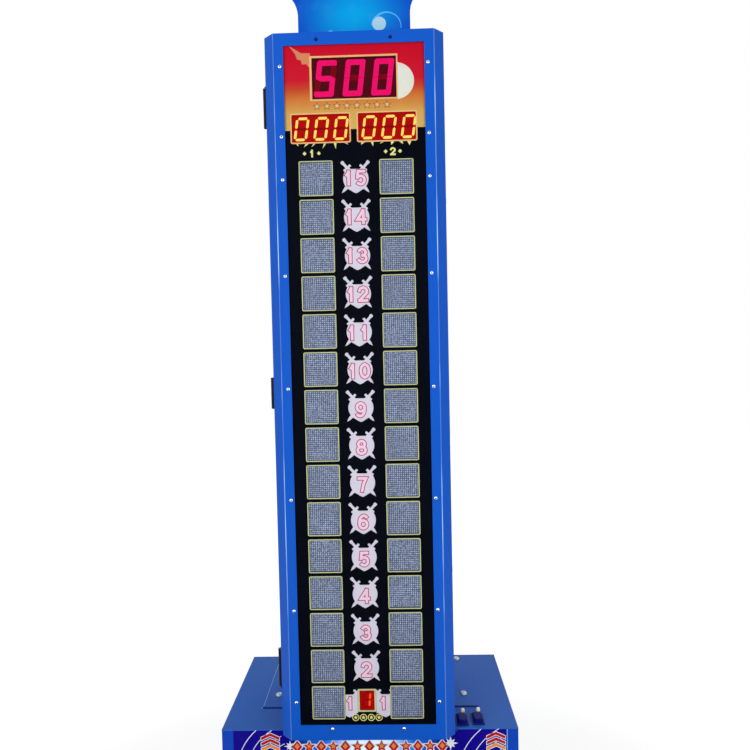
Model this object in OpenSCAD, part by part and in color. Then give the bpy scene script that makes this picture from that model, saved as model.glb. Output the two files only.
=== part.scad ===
// Hammer arcade machine: a console with a strike platform in front of it, a tall score tower with a
// hinged display door, a light-box topper and a mallet that rests on the platform's front.
// Sizes are in millimetres. +Z is up, the player stands on the -Y side, and the origin lies on the
// floor under the middle of the machine. Inside the modules y = 0 is the console's front face.

/* [Console] */
// Width of the console and of the strike platform
console_w = 785; // [760:5:860]
// Depth of the console
console_d = 420; // [415:5:480]
// Height of the console's top above the floor
console_h = 540; // [530:5:620]
// Height of the bodywork above the floor
ground_gap = 60; // [56:1:64]
// Thickness of the console and platform sheet
sheet = 3; // [2:0.5:4]
// Width of the square bars in the base frame
bar = 30; // [26:1:32]
// Width of the rear service door
rear_w = 460; // [400:5:480]
// Height of the rear service door
rear_h = 350; // [300:5:355]

/* [Strike platform] */
// Depth of the strike platform in front of the console
platform_d = 650; // [640:5:760]
// Height of the platform's top above the floor
platform_h = 330; // [325:1:334]
// Rise of the sloping kick plate at the platform's foot
kick_rise = 60; // [40:5:65]
// Depth of the sloping kick plate
kick_depth = 40; // [30:5:50]
// Diameter of the strike pad
pad_d = 280; // [260:2:284]
// Thickness of the strike pad
pad_t = 50; // [44:1:54]
// Distance of the pad's centre in front of the console
pad_y = 385; // [380:1:395]
// Travel of the strike pad
strike_travel = 30; // [20:1:32]
// Width of the gap between the pad and its collar
pad_gap = 8; // [6:1:10]
// Diameter of the guide rods
rod_d = 20; // [16:1:24]
// Diameter of the circle on which the guide rods stand
rod_circle = 190; // [180:2:200]
// Length of the pad's springs
spring_l = 66; // [62:1:70]

/* [Tower] */
// Width of the tower
tower_w = 450; // [440:2:460]
// Height of the tower above the console
tower_h = 1790; // [1780:5:1900]
// Depth of the tower's folded case
tower_d = 340; // [320:5:350]
// Thickness of the tower's sheet
tower_sheet = 2; // [1.5:0.5:2.5]
// Width of the foot flange under the tower
flange_w = 604; // [590:2:640]
// Distance of the foot flange behind the console's front
flange_setback = 107; // [90:1:120]
// Thickness of the foot flange
flange_t = 3; // [2:0.5:5]

/* [Display door] */
// Reach of the door's face in front of the console
door_reach = 44; // [43:1:50]
// Depth of the door's folded edge
door_t = 40; // [38:1:41]
// Size of the 45 degree chamfers on the door's long edges
door_chamfer = 25; // [20:1:26]
// How far the door hangs below the console's top
door_drop = 4; // [2:1:8]
// Height of the window above the door's lower edge
window_low = 40; // [39:1:45]
// Width of the border above the window
window_top = 31; // [29:1:33]
// Width of the window
window_w = 350; // [340:2:354]
// Thickness of the front glass
glass_t = 3; // [2:0.5:4]
// Thickness of the printed score panel
panel_t = 2; // [1:0.5:3]
// Overlap of the glass and the score panel behind the window's edge
glass_lap = 19; // [18:0.5:20]

/* [Score lights] */
// Number of light rows
rows = 15; // [10:1:15]
// Distance between light rows
row_pitch = 95.7; // [94:0.1:96.5]
// Height of the lowest light row above the console's top
row_base = 92.5; // [91:0.5:95]
// Distance of each light column from the middle
column_x = 101; // [98:1:106]
// Width of the opening over each light
light_w = 80; // [70:1:84]
// Height of the opening over each light
light_h = 82; // [70:1:84]
// Width of the high score display's opening
score_w = 211; // [190:1:220]
// Height of the high score display's opening
score_h = 102; // [90:1:110]
// Height of the high score display above the console's top
score_z = 1678; // [1674:1:1680]
// Width of a player display's opening
player_w = 145; // [130:1:148]
// Height of a player display's opening
player_h = 69; // [60:1:72]
// Distance of each player display from the middle of the pair
player_x = 83; // [81:1:88]
// Sideways offset of the pair of player displays
player_shift = -3.5; // [-6:0.5:6]
// Height of the player displays above the console's top
player_z = 1556.5; // [1552:0.5:1560]
// Width of the credit display's opening
credit_w = 38; // [30:1:40]
// Height of the credit display's opening
credit_h = 52; // [40:1:56]
// Height of the credit display above the console's top
credit_z = 98; // [92:1:102]

/* [Topper] */
// Width of the topper's neck
neck_w = 290; // [260:2:310]
// Height of the neck's straight part
neck_h = 75; // [60:1:90]
// Radius of the curve between the neck and the head
flare_r = 76; // [70:1:90]
// Height of the arch over the curve
arch_rise = 149; // [130:1:160]
// Thickness of the light box with its face
topper_t = 50; // [46:1:60]
// How far the light box stands inside its face's outline
topper_lip = 24; // [16:1:28]
// Distance of the light box behind the console's front
topper_setback = 30; // [20:1:50]

/* [Controls] */
// Width of a start button's cap
cap_w = 27; // [24:1:28]
// Depth of a start button's cap
cap_l = 45; // [40:1:47]
// Distance between the start buttons
button_pitch = 42.5; // [40:0.5:50]
// Distance of the first start button from the tower's side
button_offset = 23; // [21:1:30]
// Travel of the start buttons
button_travel = 4; // [3:0.5:5]
// Width of the coin door
coin_door_w = 220; // [212:2:230]
// Height of the coin door
coin_door_h = 130; // [126:2:134]
// Diameter of the loudspeakers' openings
speaker_d = 100; // [80:2:110]

/* [Mallet] */
// Diameter of the mallet's head
head_d = 130; // [110:2:134]
// Length of the mallet's head
head_l = 200; // [170:5:210]
// Diameter of the mallet's handle
handle_d = 32; // [28:1:34]
// Length of the handle beyond the head's centre
handle_l = 600; // [560:5:640]
// Distance of the mallet's handle in front of the platform
mallet_gap = 75; // [72:1:85]

/* [Hidden] */
$fn = 48;

// Running gap beside a moving piece
gap = 0.3;
// Radial clearance of a fixed shank in its bore
fit = 0.05;
// How far a cutting shape passes through a surface
cut = 1;

// Bodywork
inner_x = console_w / 2 - sheet;
deck = platform_h - sheet;
under_top = console_h - sheet;
rear_in = console_d - sheet;
frame_front = kick_depth + 2 * sheet - platform_d;
leg_offset = 135;
shelf_z = 140;
shelf_t = 3;
shelf_w = 159.5;
shelf_y = [60, rear_in - 37];
shelf_mid = console_d / 2 + 10;
wheel_x = inner_x - 89.5;
wheel_r = 23;
wheel_w = 24;
wheel_y = console_d - 25;
wheel_z = 5 + wheel_r;
axle_d = 8;
foot_d = 48;
foot_x = inner_x - 35;
foot_ys = [frame_front + bar / 2, rear_in - bar / 2];
rear_low = 108;
rear_hinge = [-rear_w / 2 - 1, console_d + 4];
rear_lock_x = rear_w / 2 - 18;
rear_lock_z = rear_low + rear_h / 2;

// Striker
pad_low = platform_h - 14;
plunger_t = 12;
plunger_low = pad_low - plunger_t;
guide_top = plunger_low - spring_l;
guide_t = 12;
collar_r = pad_d / 2 + pad_gap;
collar_w = 24;
collar_t = 8;
neck_t = 3;
bolt_r = collar_r + collar_w / 2;
rod_l = spring_l + guide_t + 52;
bush_d = rod_d + 14;

// Bolts in the collar and in the foot flange
bolt_d = 10;
bolt_head_d = 19;
bolt_head_t = 6;
flange_back = console_d - 10;
flange_bolts = [
    [flange_w / 2 - 35, 170], [flange_w / 2 - 35, flange_back - 26], [100, flange_back - 26]];

// Tower and door
tower_top = console_h + tower_h;
door_back = door_t - door_reach;
door_low = console_h - door_drop;
shell_front = door_back + 1;
shell_back = shell_front + tower_d;
shell_low = console_h + flange_t;
shell_lip = 24;
glass_front = tower_sheet - door_reach;
glass_back = glass_front + glass_t;
panel_back = glass_back + panel_t;
light_front = panel_back + 2;
board_t = 3;
board_x = tower_w / 2 - 10;
board_front = shell_front - board_t;
glass_x = window_w / 2 + glass_lap;
window_z = [door_low + window_low, tower_top - window_top];
glass_z = [window_z[0] - glass_lap, window_z[1] + glass_lap];
screw_d = 5;
screw_rows = [95.5, 335, 622, 905.5, 1190, 1430, 1536, 1708.7];
hinge_rows = [[172, 100], [894, 80], [1621, 100]];
hinge_x = -tower_w / 2 - 5.5;
hinge_y = (door_back + shell_front) / 2;
hinge_r = 4.2;
hinge_pin_d = 4;
latch_y = shell_front + 23;
latch_x = tower_w / 2 - 8;
latch_upper_z = console_h + 1380;
latch_lower_z = console_h + 420;
latch_arm = 38;

// Controls
button_x = tower_w / 2 + button_offset;
button_spots = [[button_x, 36], [button_x + button_pitch, 40]];
lamp_step = [7, 43];
lamp_d = 11;
lamp_h = 10;
wall = 1.2;
coin_low = 341;
coin_z = coin_low + coin_door_h / 2;
coin_hinge = [-coin_door_w / 2 - 1, -4];
entry_x = 55;
entry_w = 44;
coin_lock_x = coin_door_w / 2 - 17;
lock_d = 16;
speaker_x = 250;
speaker_z = 405;
box_low = shelf_z + 6;
inlet_x = 79.5 - inner_x;
inlet_z = 430;
rocker_z = inlet_z + 22;
rocker_y = console_d - 2;
rocker_pin_d = 3;

// Mallet
mallet_y = -platform_d - mallet_gap;
mallet_z = 240;
handle_stub = 15;
head_x = (head_d / 2 + handle_stub - handle_l) / 2;
handle_end = head_x + handle_l;
grip_l = 160;
cradle_x = 100;
tray_r = head_d / 2 + 5;

// Middle of the machine from front to back
mid_y = (console_d + 7 + mallet_y - tray_r) / 2;

blue = [0.08, 0.30, 0.82];
dark_steel = [0.10, 0.10, 0.12];
zinc = [0.78, 0.78, 0.74];
soft_black = [0.08, 0.08, 0.08];
lamp_red = [0.85, 0.12, 0.10];
board_green = [0.05, 0.35, 0.15];

module at_middle() {
    translate([0, -mid_y, 0]) children();
}

module both_sides() {
    children();
    mirror([1, 0, 0]) children();
}

module block(x, y, z) {
    translate([x[0], y[0], z[0]]) cube([x[1] - x[0], y[1] - y[0], z[1] - z[0]]);
}

module rod_x(x, y, z, d) {
    translate([x[0], y, z]) rotate([0, 90, 0]) cylinder(d = d, h = x[1] - x[0]);
}

module rod_y(x, y, z, d) {
    translate([x, y[0], z]) rotate([-90, 0, 0]) cylinder(d = d, h = y[1] - y[0]);
}

module rod_z(x, y, z, d) {
    translate([x, y, z[0]]) cylinder(d = d, h = z[1] - z[0]);
}

module cross_bar(y, z) {
    block([-inner_x, inner_x], [y, y + bar], [z, z + bar]);
}

module long_bar(y, z) {
    block([inner_x - bar, inner_x], y, [z, z + bar]);
}

module post(y, top) {
    block([inner_x - bar, inner_x], [y, y + bar], [ground_gap, top]);
}

// One side of the welded base frame with its shelf and wheel bracket
module side_frame() {
    long_bar([frame_front, rear_in], ground_gap);
    long_bar([sheet - platform_d, sheet + bar], deck - bar);
    long_bar([sheet, rear_in], under_top - bar);
    post(frame_front, deck);
    post(sheet, under_top);
    post(rear_in - bar, under_top);
    // Runner under the cash box
    block([80, 96], [40, rear_in - 8], [shelf_z, shelf_z + 6]);
    // Shelf for the electronics
    block([inner_x - shelf_w, inner_x], shelf_y, [shelf_z, shelf_z + shelf_t]);
    // Wheel bracket
    for (x = [wheel_x - wheel_w / 2 - 5, wheel_x + wheel_w / 2 + 1])
        block([x, x + 4], [wheel_y - 15, wheel_y + 15], [wheel_z - 10, ground_gap + cut]);
    rod_x([wheel_x - wheel_w / 2 - 8, wheel_x + wheel_w / 2 + 8], wheel_y, wheel_z, axle_d);
}

module base_frame() {
    color(dark_steel) at_middle() {
        both_sides() side_frame();
        for (y = [frame_front, -pad_y - leg_offset - bar / 2, -pad_y + leg_offset - bar / 2, sheet,
                rear_in - bar])
            cross_bar(y, ground_gap);
        for (y = [sheet - platform_d, sheet])
            cross_bar(y, deck - bar);
        for (y = [100, flange_back - 74])
            cross_bar(y, under_top - bar);
        for (y = [shelf_y[0], shelf_y[1] - bar])
            cross_bar(y, shelf_z - bar);
    }
}

module levelling_feet() {
    color(zinc) at_middle()
        for (side = [-1, 1])
            for (y = foot_ys) {
                rod_z(side * foot_x, y, [0, 10], foot_d);
                rod_z(side * foot_x, y, [10, ground_gap], 14);
                translate([side * foot_x, y, ground_gap - 9]) cylinder(d = 24, h = 9, $fn = 6);
            }
}

module wheel(side) {
    color(soft_black) at_middle() difference() {
        union() {
            rod_x([side * wheel_x - wheel_w / 2, side * wheel_x + wheel_w / 2], wheel_y, wheel_z,
                2 * wheel_r - 6);
            rod_x([side * wheel_x - wheel_w / 2 + 3, side * wheel_x + wheel_w / 2 - 3], wheel_y,
                wheel_z, 2 * wheel_r);
        }
        rod_x([side * wheel_x - wheel_w, side * wheel_x + wheel_w], wheel_y, wheel_z,
            axle_d + 2 * gap);
    }
}

module wheel_left() {
    wheel(-1);
}

module wheel_right() {
    wheel(1);
}

module side_profile() {
    polygon([
        [console_d, ground_gap], [console_d, under_top], [0, under_top], [0, deck],
        [-platform_d, deck], [-platform_d, ground_gap + kick_rise],
        [kick_depth - platform_d, ground_gap]]);
}

module side_panels() {
    color(blue) at_middle() both_sides() difference() {
        translate([inner_x, 0, 0]) rotate([90, 0, 90]) linear_extrude(sheet) side_profile();
        // Ventilation slots
        for (i = [0 : 5])
            block([inner_x - cut, inner_x + sheet + cut], [150, 270], [380 + 14 * i, 386 + 14 * i]);
    }
}

module console_top() {
    color(blue) at_middle() difference() {
        block([-console_w / 2, console_w / 2], [0, console_d], [under_top, console_h]);
        cable_hole();
        for (p = button_spots) {
            translate([p[0], p[1], console_h - sheet / 2])
                cube([cap_w + 2 * (gap + wall + fit), cap_l + 2 * (gap + wall + fit), sheet + 2 * cut],
                    center = true);
            rod_z(p[0] + lamp_step[0], p[1] + lamp_step[1], [under_top - cut, console_h + cut],
                lamp_d - 5 + 2 * fit);
        }
        both_sides() for (p = flange_bolts)
            rod_z(p[0], p[1], [under_top - cut, console_h + cut], bolt_d + 2 * fit);
    }
}

module cable_hole() {
    block([-60, 60], [180, 260], [under_top - cut, shell_low + cut]);
}

// Fixed half of a small door hinge, with its pin. The leaf lies on the side of the frame.
module fixed_knuckles(at, z, wall_y) {
    for (span = [[z[0], z[0] + 20], [z[1] - 20, z[1]]]) {
        rod_z(at[0], at[1], span, 6);
        block([at[0] - 6, at[0]], [min(at[1], wall_y), max(at[1], wall_y)], span);
    }
    rod_z(at[0], at[1], z, 3);
}

// Moving half of a small door hinge, between the fixed knuckles
module moving_knuckle(at, z, wall_y) {
    difference() {
        union() {
            rod_z(at[0], at[1], [z[0] + 20 + gap, z[1] - 20 - gap], 6);
            block([at[0], at[0] + 8], [min(at[1], wall_y), max(at[1], wall_y)],
                [z[0] + 20 + gap, z[1] - 20 - gap]);
        }
        rod_z(at[0], at[1], [z[0], z[1]], 3 + 2 * gap);
    }
}

module console_front() {
    color(blue) at_middle() {
        difference() {
            block([-inner_x, inner_x], [0, sheet], [deck, under_top]);
            block([-coin_door_w / 2, coin_door_w / 2], [-cut, sheet + cut],
                [coin_low, coin_low + coin_door_h]);
            for (side = [-1, 1])
                rod_y(side * speaker_x, [-cut, sheet + cut], speaker_z, speaker_d);
        }
        fixed_knuckles(coin_hinge, [coin_low + 2, coin_low + coin_door_h - 2], 0);
    }
}

module console_back() {
    color(blue) at_middle() {
        difference() {
            block([-inner_x, inner_x], [rear_in, console_d], [ground_gap, under_top]);
            block([-rear_w / 2, rear_w / 2], [rear_in - cut, console_d + cut],
                [rear_low, rear_low + rear_h]);
            inlet_body(fit, rear_in - cut, console_d + cut);
        }
        fixed_knuckles(rear_hinge, [rear_low + 2, rear_low + rear_h - 2], console_d);
    }
}

module platform_top() {
    color(blue) at_middle() difference() {
        block([-console_w / 2, console_w / 2], [-platform_d, 0], [deck, platform_h]);
        rod_z(0, -pad_y, [deck - cut, platform_h + cut], 2 * (collar_r + neck_t + fit));
        for (i = [0 : 7])
            rotate_at_pad(22.5 + 45 * i)
                rod_z(bolt_r, 0, [deck - cut, platform_h + cut], bolt_d + 2 * fit);
    }
}

module rotate_at_pad(angle) {
    translate([0, -pad_y, 0]) rotate([0, 0, angle]) children();
}

module platform_front() {
    color(blue) at_middle()
        translate([-inner_x, 0, 0]) rotate([90, 0, 90]) linear_extrude(2 * inner_x) polygon([
            [-platform_d, deck], [-platform_d, ground_gap + kick_rise],
            [kick_depth - platform_d, ground_gap], [kick_depth - platform_d + sheet, ground_gap],
            [sheet - platform_d, ground_gap + kick_rise], [sheet - platform_d, deck]]);
}

module pad_collar() {
    color(zinc) at_middle() difference() {
        union() {
            rod_z(0, -pad_y, [platform_h, platform_h + collar_t], 2 * (collar_r + collar_w));
            rod_z(0, -pad_y, [platform_h - 30, platform_h + collar_t], 2 * (collar_r + neck_t));
        }
        rod_z(0, -pad_y, [platform_h - 31, platform_h + collar_t + cut], 2 * collar_r);
        for (i = [0 : 7])
            rotate_at_pad(22.5 + 45 * i)
                rod_z(bolt_r, 0, [platform_h - cut, platform_h + collar_t + cut],
                    bolt_d + 2 * fit);
    }
}

module button_head_bolt(x, y, under_head, grip) {
    translate([x, y, under_head]) cylinder(d1 = bolt_head_d, d2 = bolt_head_d - 8, h = bolt_head_t);
    rod_z(x, y, [under_head - grip - 12, under_head], bolt_d);
    translate([x, y, under_head - grip - 8]) cylinder(d = 17, h = 8, $fn = 6);
}

module frame_bolts() {
    color(zinc) at_middle() {
        both_sides() for (p = flange_bolts)
            button_head_bolt(p[0], p[1], console_h + flange_t, flange_t + sheet);
        for (i = [0 : 7])
            rotate_at_pad(22.5 + 45 * i)
                button_head_bolt(bolt_r, 0, platform_h + collar_t, collar_t + sheet);
    }
}

module impact_base() {
    color(dark_steel) at_middle() translate([0, -pad_y, 0]) {
        difference() {
            block([-150, 150], [-150, 150], [guide_top - guide_t, guide_top]);
            for (i = [0 : 3])
                rotate([0, 0, 45 + 90 * i])
                    rod_z(rod_circle / 2, 0, [guide_top - guide_t - cut, guide_top + cut],
                        bush_d + 2 * fit);
        }
        for (x = [-leg_offset - 15, leg_offset - 15])
            for (y = [-leg_offset - 15, leg_offset - 15])
                block([x, x + 30], [y, y + 30], [ground_gap + bar, guide_top - guide_t]);
    }
}

module guide_bushes() {
    color([0.72, 0.55, 0.25]) at_middle()
        for (i = [0 : 3])
            rotate_at_pad(45 + 90 * i) difference() {
                union() {
                    rod_z(rod_circle / 2, 0, [guide_top, guide_top + 4], bush_d + 8);
                    rod_z(rod_circle / 2, 0, [guide_top - 42, guide_top + 4], bush_d);
                }
                rod_z(rod_circle / 2, 0, [guide_top - 43, guide_top + 5], rod_d + 2 * gap);
            }
}

module pad_springs() {
    color(zinc) at_middle()
        for (i = [0 : 3])
            rotate_at_pad(90 * i) difference() {
                rod_z(60, 0, [guide_top, guide_top + spring_l], 40);
                rod_z(60, 0, [guide_top - cut, guide_top + spring_l + cut], 26);
            }
}

module strike_sensor() {
    color(soft_black) at_middle() translate([0, -pad_y, 0]) {
        rod_z(0, 0, [guide_top, guide_top + 18], 44);
        rod_z(0, 0, [guide_top + 18, guide_top + spring_l - strike_travel - 4], 24);
    }
}

module strike_pad() {
    color(lamp_red) at_middle() translate([0, -pad_y, 0]) {
        rod_z(0, 0, [pad_low, pad_low + pad_t - 8], pad_d);
        translate([0, 0, pad_low + pad_t - 8]) cylinder(d1 = pad_d, d2 = pad_d - 16, h = 8);
    }
}

module strike_plunger() {
    color(zinc) at_middle() {
        rod_z(0, -pad_y, [plunger_low, pad_low], pad_d - 20);
        for (i = [0 : 3])
            rotate_at_pad(45 + 90 * i)
                rod_z(rod_circle / 2, 0, [plunger_low - rod_l, plunger_low + cut], rod_d);
    }
}

module mallet_cradles() {
    color(dark_steel) at_middle() {
        // Tray under the mallet's head
        block([head_x - tray_r, head_x + tray_r], [mallet_y - tray_r, -platform_d],
            [mallet_z - head_l / 2 - 6, mallet_z - head_l / 2]);
        block([head_x - tray_r, head_x + tray_r], [-platform_d - 4, -platform_d],
            [mallet_z - head_l / 2 - 6, mallet_z - head_l / 2 + 60]);
        for (x = [head_x - tray_r, head_x + tray_r - 3])
            block([x, x + 3], [mallet_y - tray_r, -platform_d],
                [mallet_z - head_l / 2 - 6, mallet_z - head_l / 2 + 12]);
        block([head_x - tray_r, head_x + tray_r], [mallet_y - tray_r, mallet_y - tray_r + 3],
            [mallet_z - head_l / 2 - 6, mallet_z - head_l / 2 + 12]);
        // Hook under the handle
        block([cradle_x - 30, cradle_x + 30], [-platform_d - 4, -platform_d],
            [mallet_z - 50, mallet_z + 30]);
        difference() {
            block([cradle_x - 12, cradle_x + 12], [mallet_y - handle_d / 2 - 8, -platform_d],
                [mallet_z - handle_d / 2 - 10, mallet_z + 8]);
            rod_x([cradle_x - 13, cradle_x + 13], mallet_y, mallet_z, handle_d + 2 * gap);
            block([cradle_x - 13, cradle_x + 13],
                [mallet_y - handle_d / 2 - gap, mallet_y + handle_d / 2 + gap],
                [mallet_z, mallet_z + 9]);
        }
    }
}

module mallet_head() {
    color(soft_black) at_middle() difference() {
        union() {
            rod_z(head_x, mallet_y, [mallet_z - head_l / 2 + 5, mallet_z + head_l / 2 - 5], head_d);
            rod_z(head_x, mallet_y, [mallet_z - head_l / 2, mallet_z + head_l / 2], head_d - 10);
        }
        rod_x([head_x - head_d, head_x + head_d], mallet_y, mallet_z, handle_d + 2 * fit);
    }
}

module mallet_handle() {
    color([0.72, 0.52, 0.30]) at_middle()
        rod_x([head_x - head_d / 2 - handle_stub, handle_end], mallet_y, mallet_z, handle_d);
}

module mallet_grip() {
    color(soft_black) at_middle() difference() {
        rod_x([handle_end - grip_l - 2, handle_end - 2], mallet_y, mallet_z, handle_d + 6);
        rod_x([handle_end - grip_l - 3, handle_end], mallet_y, mallet_z, handle_d + 2 * fit);
    }
}

module tower_shell() {
    color(blue) at_middle() difference() {
        union() {
            difference() {
                block([-tower_w / 2, tower_w / 2], [shell_front, shell_back], [shell_low, tower_top]);
                block([tower_sheet - tower_w / 2, tower_w / 2 - tower_sheet],
                    [shell_front - cut, shell_back - tower_sheet],
                    [shell_low - cut, tower_top - tower_sheet]);
            }
            both_sides()
                block([tower_w / 2 - shell_lip, tower_w / 2], [shell_front, shell_front + tower_sheet],
                    [shell_low, tower_top]);
        }
        for (z = [latch_upper_z, latch_lower_z]) {
            rod_x([tower_w / 2 - 5, tower_w / 2 + cut], latch_y, z, 18 + 2 * gap);
            block([latch_x - 1.5, tower_w / 2 - tower_sheet], [shell_front - cut, shell_front + 3],
                [z - 18, z + latch_arm + 2]);
        }
        // Ventilation slots in the back
        for (i = [0 : 7])
            block([-70, 70], [shell_back - 3, shell_back + cut],
                [tower_top - 260 + 18 * i, tower_top - 252 + 18 * i]);
    }
}

module tower_flange() {
    color(dark_steel) at_middle() difference() {
        block([-flange_w / 2, flange_w / 2], [flange_setback, flange_back],
            [console_h, console_h + flange_t]);
        cable_hole();
        both_sides() for (p = flange_bolts)
            rod_z(p[0], p[1], [console_h - cut, shell_low + cut], bolt_d + 2 * fit);
    }
}

module display_board() {
    color(board_green) at_middle()
        block([-board_x, board_x], [board_front, shell_front], [shell_low + 8, tower_top - 8]);
}

module led_tiles(side) {
    color([0.45, 0.52, 0.62]) at_middle()
        for (i = [0 : rows - 1])
            translate([side * column_x, light_front, console_h + row_base + row_pitch * i])
                block([-light_w / 2 - 3, light_w / 2 + 3], [0, board_front - light_front],
                    [-light_h / 2 - 3, light_h / 2 + 3]);
}

module led_tiles_left() {
    led_tiles(-1);
}

module led_tiles_right() {
    led_tiles(1);
}

module display_unit(x, z, w, h) {
    color(lamp_red) at_middle()
        block([x - w / 2 - 3, x + w / 2 + 3], [light_front, board_front],
            [console_h + z - h / 2 - 3, console_h + z + h / 2 + 3]);
}

module high_score_display() {
    display_unit(0, score_z, score_w, score_h);
}

module player_one_display() {
    display_unit(player_shift - player_x, player_z, player_w, player_h);
}

module player_two_display() {
    display_unit(player_shift + player_x, player_z, player_w, player_h);
}

module credit_display() {
    display_unit(-2, credit_z, credit_w, credit_h);
}

// Outline of the topper, seen from the front, with its edge moved inwards by inset and its foot
// raised to low
module topper_shape(inset, low) {
    half = neck_w / 2;
    tip = half + flare_r;
    arch_r = (tip * tip + arch_rise * arch_rise) / (2 * arch_rise);
    arch_z = neck_h + flare_r + arch_rise - arch_r;
    translate([-half + inset, low]) square([2 * (half - inset), neck_h + flare_r + inset - low]);
    difference() {
        translate([-tip + inset, neck_h]) square([2 * (tip - inset), flare_r + 2 * inset]);
        for (side = [-1, 1])
            translate([side * tip, neck_h]) circle(r = flare_r + inset, $fn = 96);
    }
    intersection() {
        translate([0, arch_z]) circle(r = arch_r - inset, $fn = 96);
        translate([-tip + inset, neck_h + flare_r + inset])
            square([2 * (tip - inset), arch_rise]);
    }
}

module topper_slab(y, inset, low) {
    translate([0, y[1], tower_top]) rotate([90, 0, 0]) linear_extrude(y[1] - y[0])
        topper_shape(inset, low);
}

module topper_case() {
    color([0.05, 0.20, 0.62]) at_middle() {
        difference() {
            topper_slab([topper_setback + 4, topper_setback + topper_t], topper_lip, 0);
            topper_slab([topper_setback, topper_setback + topper_t - 2], topper_lip + 2, 2);
        }
        both_sides()
            block([neck_w / 2 - topper_lip - cut, neck_w / 2 - topper_lip + 20],
                [topper_setback + 10, topper_setback + topper_t - 4], [tower_top, tower_top + 3]);
    }
}

module topper_face() {
    color([0.05, 0.55, 0.88]) at_middle()
        topper_slab([topper_setback, topper_setback + 4], 0, 0);
}

module topper_lamps() {
    color([0.95, 0.95, 0.9]) at_middle()
        for (z = [tower_top + neck_h - 20, tower_top + neck_h + flare_r + 20]) {
            rod_x([-110, 110], topper_setback + topper_t - 30, z, 26);
            for (x = [-110, 100])
                block([x, x + 10], [topper_setback + topper_t - 30, topper_setback + topper_t - 2],
                    [z - 9, z + 9]);
        }
}

// Fixed hinge leaves on the tower's left side, with their pins
module hinge_leaves() {
    color(soft_black) at_middle()
        for (row = hinge_rows) {
            low = console_h + row[0] - row[1] / 2;
            high = console_h + row[0] + row[1] / 2;
            third = row[1] / 3;
            block([-tower_w / 2 - 3, -tower_w / 2], [hinge_y + 8, hinge_y + 36], [low, high]);
            for (z = [[low, low + third], [high - third, high]]) {
                rod_z(hinge_x, hinge_y, z, 2 * hinge_r);
                block([-tower_w / 2 - 3, -tower_w / 2 - 0.5], [hinge_y, hinge_y + 9], z);
            }
            rod_z(hinge_x, hinge_y, [low, high], hinge_pin_d);
        }
}

module door_hinge_leaves() {
    color(soft_black) at_middle()
        for (row = hinge_rows) {
            low = console_h + row[0] - row[1] / 2;
            high = console_h + row[0] + row[1] / 2;
            third = row[1] / 3;
            block([-tower_w / 2 - 3, -tower_w / 2], [hinge_y - 15, hinge_y - 8], [low, high]);
            difference() {
                union() {
                    rod_z(hinge_x, hinge_y, [low + third + gap, high - third - gap], 2 * hinge_r);
                    block([-tower_w / 2 - 3, -tower_w / 2 - 0.5], [hinge_y - 9, hinge_y],
                        [low + third + gap, high - third - gap]);
                }
                rod_z(hinge_x, hinge_y, [low, high], hinge_pin_d + 2 * gap);
            }
        }
}

// Plan of the door's folded edge, with its faces moved inwards by inset
module door_plan(inset) {
    half = tower_w / 2 - inset;
    front = inset - door_reach;
    fold = inset * (sqrt(2) - 1);
    back = inset > 0 ? door_back + cut : door_back;
    polygon([
        [-half, back], [-half, door_chamfer - door_reach + fold],
        [door_chamfer + fold - tower_w / 2, front], [tower_w / 2 - door_chamfer - fold, front],
        [half, door_chamfer - door_reach + fold], [half, back]]);
}

module screw_spots(y, d) {
    for (z = screw_rows)
        both_sides() rod_y(window_w / 2 + 9, y, console_h + z, d);
    both_sides() rod_y(92, y, window_z[0] - 10.5, d);
    both_sides() rod_y(92, y, window_z[1] + 13, d);
}

module door_frame() {
    color(blue) at_middle() {
        difference() {
            translate([0, 0, door_low]) linear_extrude(tower_top - door_low) door_plan(0);
            translate([0, 0, door_low + tower_sheet])
                linear_extrude(tower_top - door_low - 2 * tower_sheet) door_plan(tower_sheet);
            block([-window_w / 2, window_w / 2], [-door_reach - cut, glass_front + cut], window_z);
            screw_spots([-door_reach - cut, glass_front + cut], screw_d + 2 * fit);
        }
        // Keepers for the two latches
        for (z = [latch_upper_z, latch_lower_z])
            block([latch_x - 0.5, tower_w / 2 - tower_sheet], [latch_y - 29.5, latch_y - 25.5],
                [z - 16, z - 7]);
    }
}

module front_glass() {
    color([0.7, 0.85, 0.9, 0.4]) at_middle() difference() {
        block([-glass_x, glass_x], [glass_front, glass_back], glass_z);
        screw_spots([glass_front - cut, glass_back + cut], screw_d + 2 * fit);
    }
}

module panel_opening(x, z, w, h) {
    block([x - w / 2, x + w / 2], [glass_back - cut, panel_back + cut],
        [console_h + z - h / 2, console_h + z + h / 2]);
}

module score_panel() {
    color([0.85, 0.25, 0.15]) at_middle() difference() {
        block([-glass_x, glass_x], [glass_back, panel_back], glass_z);
        for (i = [0 : rows - 1])
            for (side = [-1, 1])
                panel_opening(side * column_x, row_base + row_pitch * i, light_w, light_h);
        panel_opening(0, score_z, score_w, score_h);
        panel_opening(player_shift - player_x, player_z, player_w, player_h);
        panel_opening(player_shift + player_x, player_z, player_w, player_h);
        panel_opening(-2, credit_z, credit_w, credit_h);
        screw_spots([glass_back - cut, panel_back + cut], screw_d + 2 * fit);
    }
}

module panel_screws() {
    color(zinc) at_middle() {
        screw_spots([-door_reach - 2.5, -door_reach], 9);
        screw_spots([-door_reach - 1, panel_back + 3], screw_d);
        screw_spots([panel_back, panel_back + 3], 9);
    }
}

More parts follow.
